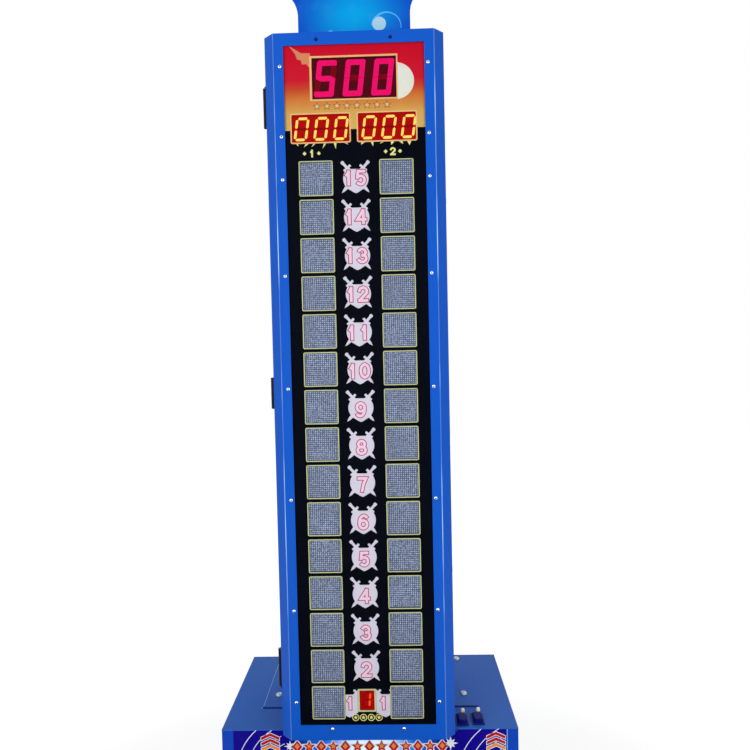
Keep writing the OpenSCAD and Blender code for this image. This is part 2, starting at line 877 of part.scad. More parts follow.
// Cam latch in the tower's right side, drawn unlocked with its hook up
module door_latch(z) {
    color(zinc) at_middle() translate([0, latch_y, z]) {
        rod_x([tower_w / 2, tower_w / 2 + 3], 0, 0, 22);
        rod_x([latch_x, tower_w / 2 + 3], 0, 0, 18);
        block([latch_x, latch_x + 3], [-6, 6], [0, latch_arm]);
        block([latch_x, latch_x + 3], [-14, 0], [latch_arm - 8, latch_arm]);
    }
}

module door_latch_upper() {
    door_latch(latch_upper_z);
}

module door_latch_lower() {
    door_latch(latch_lower_z);
}

module button_block(grow, z) {
    for (p = button_spots)
        block([p[0] - cap_w / 2 - grow, p[0] + cap_w / 2 + grow],
            [p[1] - cap_l / 2 - grow, p[1] + cap_l / 2 + grow], z);
}

module button_housings() {
    color(soft_black) at_middle() difference() {
        union() {
            button_block(3, [console_h, console_h + 4]);
            button_block(gap + wall, [console_h - 30, console_h + 4]);
        }
        button_block(gap, [console_h - 28, console_h + 5]);
    }
}

module start_button(spot) {
    color([0.10, 0.12, 0.45]) at_middle()
        block([spot[0] - cap_w / 2, spot[0] + cap_w / 2],
            [spot[1] - cap_l / 2, spot[1] + cap_l / 2],
            [console_h - 27 + button_travel, console_h + 12]);
}

module start_button_one() {
    start_button(button_spots[0]);
}

module start_button_two() {
    start_button(button_spots[1]);
}

module ready_lamps() {
    color([0.85, 0.95, 0.9]) at_middle()
        for (p = button_spots) {
            rod_z(p[0] + lamp_step[0], p[1] + lamp_step[1], [console_h, console_h + lamp_h],
                lamp_d);
            rod_z(p[0] + lamp_step[0], p[1] + lamp_step[1], [console_h - 14, console_h + 1],
                lamp_d - 5);
        }
}

module coin_door() {
    color(dark_steel) at_middle() difference() {
        union() {
            block([1 - coin_door_w / 2, coin_door_w / 2 - 1], [-1, sheet],
                [coin_low + 1, coin_low + coin_door_h - 1]);
            moving_knuckle(coin_hinge, [coin_low + 2, coin_low + coin_door_h - 2], -1 + 0.5);
        }
        for (side = [-1, 1])
            block([side * entry_x - entry_w / 2 + 4 - fit, side * entry_x + entry_w / 2 - 4 + fit],
                [-1 - cut, sheet + cut], [coin_z - 48 - fit, coin_z + 48 + fit]);
        rod_y(coin_lock_x, [-1 - cut, sheet + cut], coin_z, lock_d + 2 * gap);
    }
}

// Coin entry, selector and return cup on each side of the coin door
module coin_mech() {
    color(zinc) at_middle()
        for (side = [-1, 1])
            translate([side * entry_x, 0, coin_z]) difference() {
                union() {
                    block([-entry_w / 2, entry_w / 2], [-6, -1], [-53, 53]);
                    block([4 - entry_w / 2, entry_w / 2 - 4], [-6, sheet + cut], [-48, 48]);
                    block([-entry_w / 2, entry_w / 2], [sheet, 66], [-53, 53]);
                }
                // Coin slot and the channel that drops to the cash box
                block([-2.2, 2.2], [-6 - cut, 40], [16, 46]);
                block([-2.2, 2.2], [24, 54], [-53 - cut, 46]);
                // Reject button's pocket
                block([-10 - gap, 10 + gap], [-6 - cut, 12], [-10 - gap, 10 + gap]);
                // Coin return cup
                block([-15, 15], [-6 - cut, 18], [-46, -18]);
            }
}

module reject_button(side) {
    color(lamp_red) at_middle()
        block([side * entry_x - 10, side * entry_x + 10], [-12, 6], [coin_z - 10, coin_z + 10]);
}

module reject_button_left() {
    reject_button(-1);
}

module reject_button_right() {
    reject_button(1);
}

// Cam lock drawn unlocked, with its cam pointing down
module cam_lock(x, z, face_y, out) {
    translate([x, face_y, z]) {
        rod_y(0, out > 0 ? [0, 3] : [-3, 0], 0, lock_d + 4);
        rod_y(0, out > 0 ? [-11, 1] : [-1, 11], 0, lock_d);
        block([-7, 7], out > 0 ? [-11, -8] : [8, 11], [-32, 0]);
        rod_y(-3, out > 0 ? [2, 3] : [-3, -2], 0, 2);
    }
}

module coin_lock() {
    color(zinc) at_middle() cam_lock(coin_lock_x, coin_z, -1, -1);
}

module cash_box() {
    color(dark_steel) at_middle() difference() {
        block([-98, 98], [45, 245], [box_low + gap, box_low + 120]);
        block([-96, 96], [47, 243], [box_low + gap + 2, box_low + 121]);
        block([-40, 40], [240, 250], [box_low + 80, box_low + 104]);
    }
}

module rear_door() {
    color(blue) at_middle() difference() {
        union() {
            block([1 - rear_w / 2, rear_w / 2 - 1], [rear_in, console_d + 1],
                [rear_low + 1, rear_low + rear_h - 1]);
            moving_knuckle(rear_hinge, [rear_low + 2, rear_low + rear_h - 2], console_d + 0.5);
        }
        rod_y(rear_lock_x, [rear_in - cut, console_d + 1 + cut], rear_lock_z, lock_d + 2 * gap);
        for (i = [0 : 5])
            block([-90, 90], [rear_in - cut, console_d + 1 + cut],
                [rear_low + rear_h - 120 + 16 * i, rear_low + rear_h - 113 + 16 * i]);
    }
}

module rear_lock() {
    color(zinc) at_middle() cam_lock(rear_lock_x, rear_lock_z, console_d + 1, 1);
}

module speakers() {
    color(soft_black) at_middle()
        for (side = [-1, 1])
            translate([side * speaker_x, sheet, speaker_z]) rotate([-90, 0, 0]) {
                cylinder(d = speaker_d + 20, h = 4);
                translate([0, 0, 4]) cylinder(d1 = speaker_d, d2 = speaker_d * 0.55, h = 34);
                translate([0, 0, 38]) cylinder(d = speaker_d * 0.6, h = 20);
            }
}

module speaker_grilles() {
    color(dark_steel) at_middle()
        for (side = [-1, 1])
            translate([side * speaker_x, 0, speaker_z]) difference() {
                rod_y(0, [-3, 0], 0, speaker_d + 26);
                for (i = [-3 : 3])
                    block([10 * abs(i) - 44, 44 - 10 * abs(i)], [-4, cut], [12 * i - 3, 12 * i + 3]);
            }
}

module control_board() {
    color(board_green) at_middle() {
        translate([inner_x - shelf_w / 2 - 4.75, shelf_mid, shelf_z + shelf_t]) {
            for (x = [-55, 55])
                for (y = [-100, 100])
                    rod_z(x, y, [0, 10], 8);
            block([-63, 63], [-110, 110], [10, 12]);
            block([-45, -5], [-80, -40], [12, 16]);
            block([15, 45], [-20, 80], [12, 27]);
        }
    }
}

module power_supply() {
    color(zinc) at_middle()
        block([19.5 - inner_x, 129.5 - inner_x], [shelf_mid - 100, shelf_mid + 100],
            [shelf_z + shelf_t, shelf_z + shelf_t + 60]);
}

module inlet_body(grow, y0, y1) {
    block([inlet_x - 20 - grow, inlet_x + 20 + grow], [y0, y1],
        [inlet_z - 20 - grow, inlet_z + 40 + grow]);
}

module power_inlet() {
    color(soft_black) at_middle() difference() {
        union() {
            block([inlet_x - 26, inlet_x + 26], [console_d, console_d + 2],
                [inlet_z - 26, inlet_z + 46]);
            inlet_body(0, console_d - 26, console_d + 2);
        }
        block([inlet_x - 13, inlet_x + 13], [console_d - 16, console_d + 3],
            [inlet_z - 11, inlet_z + 8]);
        block([inlet_x - 9.5, inlet_x + 9.5], [console_d - 14, console_d + 3],
            [rocker_z - 11.5, rocker_z + 11.5]);
        rod_x([inlet_x - 11, inlet_x + 11], rocker_y, rocker_z, rocker_pin_d + 0.4);
    }
    // Earth, live and neutral pins
    color(zinc) at_middle()
        for (x = [-6, 0, 6])
            block([inlet_x + x - 1, inlet_x + x + 1], [console_d - 17, console_d - 4],
                [inlet_z - 3, inlet_z + 3]);
}

module power_rocker() {
    color(lamp_red) at_middle()
        translate([inlet_x, rocker_y, rocker_z]) rotate([8, 0, 0]) {
            block([-9, 9], [-6, 6], [-8.5, 8.5]);
            rod_x([-10.6, 10.6], 0, 0, rocker_pin_d);
        }
}

base_frame();
levelling_feet();
wheel_left();
wheel_right();
side_panels();
console_top();
console_front();
console_back();
platform_top();
platform_front();
pad_collar();
frame_bolts();
impact_base();
guide_bushes();
pad_springs();
strike_sensor();
strike_pad();
strike_plunger();
mallet_cradles();
mallet_head();
mallet_handle();
mallet_grip();
tower_shell();
tower_flange();
display_board();
led_tiles_left();
led_tiles_right();
high_score_display();
player_one_display();
player_two_display();
credit_display();
topper_case();
topper_face();
topper_lamps();
hinge_leaves();
door_frame();
front_glass();
score_panel();
panel_screws();
door_hinge_leaves();
door_latch_upper();
door_latch_lower();
button_housings();
start_button_one();
start_button_two();
ready_lamps();
coin_door();
coin_mech();
reject_button_left();
reject_button_right();
coin_lock();
cash_box();
rear_door();
rear_lock();
speakers();
speaker_grilles();
control_board();
power_supply();
power_inlet();
power_rocker();
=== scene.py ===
import math
import random

import bmesh
import bpy
from bpy.props import FloatProperty, FloatVectorProperty, IntProperty, PointerProperty
from mathutils import Matrix, Vector


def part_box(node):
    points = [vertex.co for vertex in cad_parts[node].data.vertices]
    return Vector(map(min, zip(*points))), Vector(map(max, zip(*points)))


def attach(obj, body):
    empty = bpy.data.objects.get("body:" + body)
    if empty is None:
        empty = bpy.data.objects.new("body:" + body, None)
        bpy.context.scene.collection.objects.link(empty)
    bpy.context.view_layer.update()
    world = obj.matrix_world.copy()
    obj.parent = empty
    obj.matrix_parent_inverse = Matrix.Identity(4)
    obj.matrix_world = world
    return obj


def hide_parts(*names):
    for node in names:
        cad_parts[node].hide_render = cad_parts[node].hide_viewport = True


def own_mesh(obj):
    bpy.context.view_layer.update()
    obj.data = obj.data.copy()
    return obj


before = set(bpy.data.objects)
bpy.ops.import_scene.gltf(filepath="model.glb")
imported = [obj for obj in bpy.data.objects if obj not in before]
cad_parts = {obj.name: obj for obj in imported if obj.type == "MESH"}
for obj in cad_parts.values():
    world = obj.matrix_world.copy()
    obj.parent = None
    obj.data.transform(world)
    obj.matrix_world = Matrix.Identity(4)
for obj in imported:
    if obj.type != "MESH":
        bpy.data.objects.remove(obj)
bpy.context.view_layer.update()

bl_info = {
    "name": "Strength tester",
    "version": (1, 0, 0),
    "blender": (4, 5, 0),
    "location": "3D View > Sidebar > Strength tester",
    "description": "Dresses the strength tester with its finishes, print, displays and fittings",
    "category": "Object",
}

# Millimetres from the middle of the console's front edge, as on the part's drawing
MM = 0.001
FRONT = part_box("console_top")[0].y


def edges(node):
    """The lowest and highest corner of a CAD node, in drawing millimetres."""
    return [Vector((c.x, c.y - FRONT, c.z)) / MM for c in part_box(node)]


PANEL_Y = edges("score_panel")[0].y
TILE_Y = edges("led_tiles_left")[0].y
CONSOLE_TOP = edges("console_top")[1].z
TOWER_TOP = edges("door_frame")[1].z
ROWS = 15
ROW_BASE = 92.5
ROW_PITCH = 95.7
COLUMN_X = 101.0
LIGHT_SIDE = 80
DOTS_ACROSS = 16

# Y levels of the score sheet's inks, each a hair in front of what it covers
SWORD_INK = PANEL_Y - 0.16
SHIELD_INK = PANEL_Y - 0.22
HEADER_INK = PANEL_Y - 0.24
FRAME_INK = PANEL_Y - 0.25
EDGE_INK = PANEL_Y - 0.26
RIM_INK = PANEL_Y - 0.30
FILL_INK = PANEL_Y - 0.32
MARK_INK = PANEL_Y - 0.34
NEXT_LAYER = 0.02

# Levels on the score sheet, and where the two small displays' rims stand
TOP_SCORE_Z = CONSOLE_TOP + 1678
PLAYERS_Z = CONSOLE_TOP + 1556.5
STAR_ROW_Z = CONSOLE_TOP + 1610
LABELS_Z = CONSOLE_TOP + 1494.5
COINS_Z = CONSOLE_TOP + 98
COIN_MARKS_Z = CONSOLE_TOP + 53
PLAYER_RIMS_X = (-86.5, 79.5)

# Heights above the console's top: each hinge's middle with its length, and each latch
HINGES = ((172, 100), (894, 80), (1621, 100))
LATCHES = (("upper", 1380), ("lower", 420))

SPEAKERS = (("left", -250), ("right", 250))
SPEAKER_Z = 405


def row_z(row):
    return CONSOLE_TOP + ROW_BASE + ROW_PITCH * row


def tone(red, green, blue):
    """A colour written as on a screen, 0 to 255, in scene-linear light."""
    def linear(level):
        level /= 255
        return level / 12.92 if level <= 0.04045 else ((level + 0.055) / 1.055) ** 2.4
    return (linear(red), linear(green), linear(blue), 1.0)


# Shader nodes written as Python expressions

class Value:
    """A number or colour on its way through a material. Arithmetic on it adds Math nodes."""

    def __init__(self, graph, socket):
        self.graph = graph
        self.socket = socket

    def out(self, name):
        return Value(self.graph, self.socket.node.outputs[name])

    def math(self, operation, *others):
        return self.graph.add("ShaderNodeMath", {"operation": operation},
                              dict(enumerate((self, *others))))

    def __add__(self, other):
        return self.math("ADD", other)

    __radd__ = __add__

    def __sub__(self, other):
        return self.math("SUBTRACT", other)

    def __rsub__(self, other):
        return self.graph.add("ShaderNodeMath", {"operation": "SUBTRACT"}, {0: other, 1: self})

    def __mul__(self, other):
        return self.math("MULTIPLY", other)

    __rmul__ = __mul__

    def __truediv__(self, other):
        return self.math("DIVIDE", other)

    def __pow__(self, other):
        return self.math("POWER", other)

    def __abs__(self):
        return self.math("ABSOLUTE")

    def above(self, level):
        return self.math("GREATER_THAN", level)

    def below(self, level):
        return self.math("LESS_THAN", level)

    def least(self, other):
        return self.math("MINIMUM", other)

    def most(self, other):
        return self.math("MAXIMUM", other)

    def wrap(self, length):
        """Distance to the nearest multiple of a length."""
        return self.math("PINGPONG", length / 2)

    def ramp_up(self, low, high):
        """0 below low, 1 above high and smooth between them."""
        return self.graph.add(
            "ShaderNodeMapRange", {"interpolation_type": "SMOOTHSTEP"},
            {"Value": self, "From Min": low, "From Max": high})


class Graph:
    """The nodes of one material or world."""

    def __init__(self, owner):
        self.owner = bpy.data.materials.new(owner) if isinstance(owner, str) else owner
        self.owner.use_nodes = True
        self.tree = self.owner.node_tree
        self.tree.nodes.clear()

    def add(self, kind, settings=None, values=None, out=0):
        node = self.tree.nodes.new(kind)
        for key, setting in (settings or {}).items():
            if key == "stops":
                self.set_stops(node.color_ramp, setting)
            else:
                setattr(node, key, setting)
        for key, value in (values or {}).items():
            socket = node.inputs[key]
            if isinstance(value, Value):
                self.tree.links.new(value.socket, socket)
            else:
                socket.default_value = value
        return None if out is None else Value(self, node.outputs[out])

    @staticmethod
    def set_stops(ramp, stops):
        while len(ramp.elements) < len(stops):
            ramp.elements.new(0.5)
        for element, (place, colour) in zip(ramp.elements, stops):
            element.position = place
            element.color = colour

    def place(self):
        return self.add("ShaderNodeTexCoord", out="Object")

    def axes(self):
        """The place on the object as three numbers, in metres."""
        split = self.add("ShaderNodeSeparateXYZ", None, {0: self.place()})
        return split.out("X"), split.out("Y"), split.out("Z")

    def noise(self, scale, detail=3.0, stretch=None, roughness=0.5):
        place = self.place()
        if stretch:
            place = self.add("ShaderNodeVectorMath", {"operation": "MULTIPLY"}, {0: place, 1: stretch})
        return self.add("ShaderNodeTexNoise", None, {
            "Vector": place, "Scale": scale, "Detail": detail, "Roughness": roughness})

    def cells(self, scale):
        """Distance from the middle of small irregular cells."""
        return self.add("ShaderNodeTexVoronoi", None, {"Vector": self.place(), "Scale": scale})

    def mix(self, factor, first, second):
        return self.add("ShaderNodeMix", {"data_type": "RGBA"}, {0: factor, 6: first, 7: second},
                        out=2)

    def bump(self, height, strength, distance):
        return self.add("ShaderNodeBump", None, {
            "Height": height, "Strength": strength, "Distance": distance})

    def direct_view(self):
        """1 where the surface is seen, also mirrored or through glass, and 0 where it only lights."""
        path = self.add("ShaderNodeLightPath")
        return path.out("Is Camera Ray").most(path.out("Is Glossy Ray")).most(
            path.out("Is Transmission Ray"))

    def show(self, shader, kind="Material"):
        self.add("ShaderNodeOutput" + kind, None, {"Surface": shader}, out=None)
        return self.owner

    def surface(self, values):
        return self.show(self.add("ShaderNodeBsdfPrincipled", None, values))


def shade(colour, factor):
    return tuple(c * factor for c in colour[:3]) + (1.0,)


def paint(name, colour, roughness, spread, specular, grain=0.0):
    """Sprayed or powder-coated metal: slow cloud in the colour, orange peel and dust in low places."""
    g = Graph(name)
    cloud = g.noise(5.0, 4.0)
    fine = g.noise(420.0, 2.0)
    speck = g.noise(1500.0, 2.0).ramp_up(0.35, 0.75)
    base = g.mix(cloud, shade(colour, 1 - spread), shade(colour, 1 + spread))
    if grain:
        base = g.mix(speck * grain, base, shade(colour, 0.45))
        base = g.mix(fine.ramp_up(0.55, 0.8) * grain, base, shade(colour, 1.7))
    rub = g.noise(38.0, 6.0, roughness=0.7).ramp_up(0.62, 0.78)
    base = g.mix(rub * 0.04, base, tone(170, 190, 220))
    height = fine * 0.6 + speck * (0.4 + grain)
    return g.surface({
        "Base Color": base, "Roughness": cloud * 0.12 + (roughness - 0.06 + rub * 0.1),
        "Specular IOR Level": specular,
        "Normal": g.bump(height, 0.12 + grain * 0.35, 0.0006)})


DOOR_CHAMFER = 25
FOLD_HIGHLIGHT_WIDTH = 0.0016


def folded_paint(name, colour):
    """Glossy door paint with a painted highlight: pale uneven streaks along the two long folds, where
    the bends catch the light.
    """
    g = Graph(name)
    x = g.axes()[0]
    fold = (edges("door_frame")[1].x - DOOR_CHAMFER) * MM
    cloud = g.noise(5.0, 4.0)
    fine = g.noise(420.0, 2.0)
    base = g.mix(cloud, shade(colour, 0.93), shade(colour, 1.07))
    streak = g.noise(3.2, 3.0, stretch=(0.2, 1.0, 1.0)).ramp_up(0.42, 0.66)
    # The pale streaks along the folds are a painted highlight, not wear: colour standing in for the
    # light the bends catch.
    off = abs(abs(x) - fold)
    line = 1 - (off / FOLD_HIGHLIGHT_WIDTH).ramp_up(0.35, 1.0)
    base = g.mix(line * (streak * 0.85 + 0.2), base, tone(176, 218, 252))
    return g.surface({
        "Base Color": base, "Roughness": cloud * 0.12 + (0.26 - line * 0.08),
        "Specular IOR Level": 0.07, "Coat Weight": 0.03, "Coat Roughness": 0.08,
        "Normal": g.bump(fine, 0.12, 0.0006)})


def metal(name, colour, roughness, brushed=(1, 1, 1), dirt=0.25, metallic=1.0):
    """Bare or plated metal with drawn scratches and a little grime."""
    g = Graph(name)
    lines = g.noise(260.0, 3.0, stretch=brushed)
    cloud = g.noise(30.0, 4.0)
    grime = g.noise(75.0, 6.0, roughness=0.7).ramp_up(0.5, 0.8)
    base = g.mix(lines, shade(colour, 0.82), shade(colour, 1.1))
    base = g.mix(grime * dirt, base, shade(colour, 0.35))
    return g.surface({
        "Base Color": base, "Metallic": metallic,
        "Roughness": lines * 0.14 + cloud * 0.1 + grime * 0.15 + (roughness - 0.12),
        "Normal": g.bump(lines, 0.15, 0.0003)})


def moulded(name, colour, roughness=0.4, specular=0.4, grain=0.3, scale=900.0, glow=None):
    """Moulded plastic or rubber with a fine leathered skin."""
    g = Graph(name)
    cells = g.cells(scale)
    cloud = g.noise(18.0, 4.0)
    scuff = g.noise(120.0, 5.0, roughness=0.7).ramp_up(0.58, 0.8)
    base = g.mix(cloud, shade(colour, 0.85), shade(colour, 1.12))
    base = g.mix(scuff * 0.2, base, shade(colour, 1.9))
    values = {
        "Base Color": base, "Roughness": cloud * 0.12 + scuff * 0.12 + (roughness - 0.08),
        "Specular IOR Level": specular, "Normal": g.bump(cells, grain, 0.0004)}
    if glow:
        values["Emission Color"] = g.mix(cloud * 0.5, glow[0], shade(glow[0], 0.8))
        values["Emission Strength"] = glow[1]
    return g.surface(values)


def lens(name, colour, roughness, specular):
    """Clear grey moulding over unlit lamps: each dot and each light a little different."""
    g = Graph(name)
    dots = g.noise(300.0, 1.0).ramp_up(0.36, 0.64)
    lights = g.noise(7.0, 2.0).ramp_up(0.3, 0.7)
    fine = g.noise(1300.0, 2.0)
    base = g.mix(dots, shade(colour, 0.62), shade(colour, 1.36))
    base = g.mix(lights * 0.35, base, shade(colour, 0.72))
    return g.surface({
        "Base Color": base, "Roughness": fine * 0.2 + (roughness - 0.1),
        "Specular IOR Level": specular, "Normal": g.bump(fine, 0.1, 0.0003)})


def ink(name, colour, roughness=0.45, spread=0.08, glow=0.0):
    """Screen-printed ink: a fine dot screen and uneven cover."""
    g = Graph(name)
    cover = g.noise(45.0, 5.0)
    screen = g.cells(1600.0).ramp_up(0.1, 0.9)
    base = g.mix(cover, shade(colour, 1 - spread), shade(colour, 1 + spread))
    base = g.mix(screen * 0.12, base, shade(colour, 0.72))
    values = {
        "Base Color": base, "Roughness": cover * 0.15 + (roughness - 0.07),
        "Specular IOR Level": 0.06, "Normal": g.bump(screen, 0.08, 0.0002)}
    if glow:
        values["Emission Color"] = base
        values["Emission Strength"] = glow
    return g.surface(values)


def lit(name, core, strength, body=(0.02, 0.0, 0.0, 1.0)):
    """A lit lamp or display segment with small diode cells in its light."""
    g = Graph(name)
    cells = g.cells(260.0)
    cloud = g.noise(60.0, 3.0)
    light = g.mix(cells.ramp_up(0.1, 0.7) * 0.35, core, shade(core, 0.55))
    light = g.mix(cloud * 0.15, light, shade(core, 1.3))
    return g.surface({
        "Base Color": body, "Roughness": cloud * 0.1 + 0.3, "Specular IOR Level": 0.04,
        "Emission Color": light, "Emission Strength": strength})


HEADER_FOOT = CONSOLE_TOP * MM + 1.552
HEADER_HEAD = CONSOLE_TOP * MM + 1.762


def score_print(name, settings):
    """The score sheet: sunset header over black, and the sheet's bare back."""
    g = Graph(name)
    _, y, z = g.axes()
    up = (z - HEADER_FOOT) / (HEADER_HEAD - HEADER_FOOT)
    ripple = g.noise(26.0, 4.0) * 0.05 - 0.025
    sunset = g.add("ShaderNodeValToRGB", {"stops": [
        (0.0, tone(216, 190, 104)), (0.2, tone(218, 172, 92)), (0.36, tone(214, 128, 62)),
        (0.49, tone(203, 72, 50)), (0.58, tone(210, 30, 52)), (1.0, tone(207, 14, 45))]},
        {0: up + ripple})
    cloud = g.noise(9.0, 4.0)
    screen = g.cells(1500.0)
    black = g.mix(cloud, shade(settings.sheet_black, 0.6), shade(settings.sheet_black, 1.5))
    header = g.mix(screen * 0.1, sunset, tone(120, 20, 10))
    base = g.mix(z.above(HEADER_FOOT), black, header)
    base = g.mix(y.above(FRONT + (PANEL_Y + 0.6) * MM), base, tone(48, 50, 54))
    return g.surface({
        "Base Color": base, "Roughness": cloud * 0.15 + 0.42, "Specular IOR Level": 0.02,
        "Normal": g.bump(cloud, 0.05, 0.0002)})


FIELD_LEFT, FIELD_RIGHT = -0.362, 0.365
RIGHT_RULE = (0.3618, 0.3642)
FOOT_LEFT, FOOT_RIGHT, FOOT_DEEP = -0.229, 0.233, 0.008


def console_print(name):
    """The console front: painted border, dark printed field and a pale glow behind the diamonds, which
    also gives off light as painted brightness against the shade under the door.
    """
    g = Graph(name)
    x, _, z = g.axes()
    field = x.above(FIELD_LEFT) * x.below(FIELD_RIGHT)
    depth = CONSOLE_TOP * MM - z
    across = 1 - (x / 0.2) ** 2
    glow = (across.most(0.0) * depth.ramp_up(-0.012, 0.026)).least(1.0)
    glow = glow * (1 - depth.ramp_up(0.075, 0.17))
    core = glow * (1 - abs(x).ramp_up(0.035, 0.12))
    swirl = g.noise(16.0, 4.0)
    dark = g.mix(swirl, tone(12, 3, 118), tone(24, 10, 150))
    sky = g.mix(core, tone(16, 112, 216), tone(206, 238, 250))
    printed = g.mix(glow.ramp_up(0.05, 0.8), dark, sky)
    painted = g.mix(swirl, tone(13, 60, 172), tone(20, 72, 190))
    foot = x.above(FOOT_LEFT) * x.below(FOOT_RIGHT) * depth.below(FOOT_DEEP)
    base = g.mix(field * (1 - foot), painted, printed)
    rule = x.above(RIGHT_RULE[0]) * x.below(RIGHT_RULE[1])
    base = g.mix(rule, base, tone(120, 170, 226))
    fine = g.noise(420.0, 2.0)
    # The pale print also emits light: painted brightness that keeps it bright in the door's shade.
    return g.surface({
        "Base Color": base, "Roughness": swirl * 0.1 + 0.34, "Specular IOR Level": 0.06,
        "Emission Color": g.mix(glow, (0, 0, 0, 1), sky), "Emission Strength": 0.4,
        "Normal": g.bump(fine, 0.08, 0.0005)})


GLOW_MIDDLE = TOWER_TOP * MM + 0.08


def topper_print(name, settings):
    """The lit topper sheet: cyan at its middle, deeper blue to its edges, with slow streaks."""
    g = Graph(name)
    x, _, z = g.axes()
    rise = z - GLOW_MIDDLE
    away = ((x / 0.17) ** 2 + (rise / 0.12) ** 2).math("SQRT")
    streak = g.noise(7.0, 4.0, stretch=(1.0, 1.0, 2.6))
    field = (away + streak * 0.2 - 0.1).ramp_up(0.0, 1.0)
    base = g.mix(field, settings.topper_light, settings.topper_deep)
    base = g.mix(g.noise(40.0, 5.0).ramp_up(0.5, 0.75) * 0.03, base, tone(120, 200, 245))
    return g.surface({
        "Base Color": g.mix(0.7, base, (0, 0, 0, 1)), "Roughness": streak * 0.1 + 0.2,
        "Specular IOR Level": 0.05, "Emission Color": base, "Emission Strength": 0.67})


def clear_sheet(name):
    """Thin clear acrylic: what is behind it from the front, with a soft sheen only at a slant."""
    g = Graph(name)
    smear = g.noise(3.0, 3.0, stretch=(1.0, 1.0, 0.35))
    through = g.add("ShaderNodeBsdfTransparent", None, {0: (0.985, 0.99, 0.99, 1.0)})
    sheen = g.add("ShaderNodeBsdfGlossy", None, {"Roughness": 0.06})
    slant = g.add("ShaderNodeFresnel", None, {"IOR": 1.3})
    factor = (slant - 0.035).most(0.0) * (0.5 + smear * 0.4)
    return g.show(g.add("ShaderNodeMixShader", None, {0: factor, 1: through, 2: sheen}))


TREAD_PITCH = 0.026
TREAD_HALF_WIDTH = 0.0032
TREAD_HALF_LENGTH = 0.0125


def tread(name, colour):
    """Lozenges of non-slip plate as bumps in the paint, worn bright on top."""
    g = Graph(name)
    x, y, _ = g.axes()
    first = ((x + y) * 0.7071).wrap(TREAD_PITCH)
    second = ((x - y) * 0.7071).wrap(TREAD_PITCH)
    lozenge = 1 - (first.least(second) / TREAD_HALF_WIDTH).ramp_up(0.5, 1.0)
    lozenge = lozenge * (1 - (first.most(second) / TREAD_HALF_LENGTH).ramp_up(0.75, 0.95))
    cloud = g.noise(8.0, 5.0)
    fine = g.noise(500.0, 2.0)
    wear = g.noise(60.0, 5.0).ramp_up(0.45, 0.7) * lozenge
    base = g.mix(cloud, shade(colour, 0.8), shade(colour, 1.15))
    base = g.mix(wear * 0.6, base, shade(colour, 2.2))
    return g.surface({
        "Base Color": base, "Roughness": cloud * 0.15 + (0.4 - wear * 0.1),
        "Specular IOR Level": 0.4, "Normal": g.bump(lozenge + fine * 0.08, 0.7, 0.0012)})


def ash_wood(name):
    """Varnished ash along X: long grain with darker lines."""
    g = Graph(name)
    grain = g.noise(14.0, 6.0, stretch=(0.06, 1.0, 1.0), roughness=0.6)
    lines = g.noise(160.0, 3.0, stretch=(0.03, 1.0, 1.0)).ramp_up(0.45, 0.62)
    base = g.mix(grain, tone(176, 128, 74), tone(222, 184, 128))
    base = g.mix(lines * 0.35, base, tone(128, 84, 44))
    return g.surface({
        "Base Color": base, "Roughness": grain * 0.2 + 0.22, "Specular IOR Level": 0.5,
        "Coat Weight": 0.4, "Coat Roughness": 0.12, "Normal": g.bump(lines, 0.25, 0.0003)})


FINISHES = {}


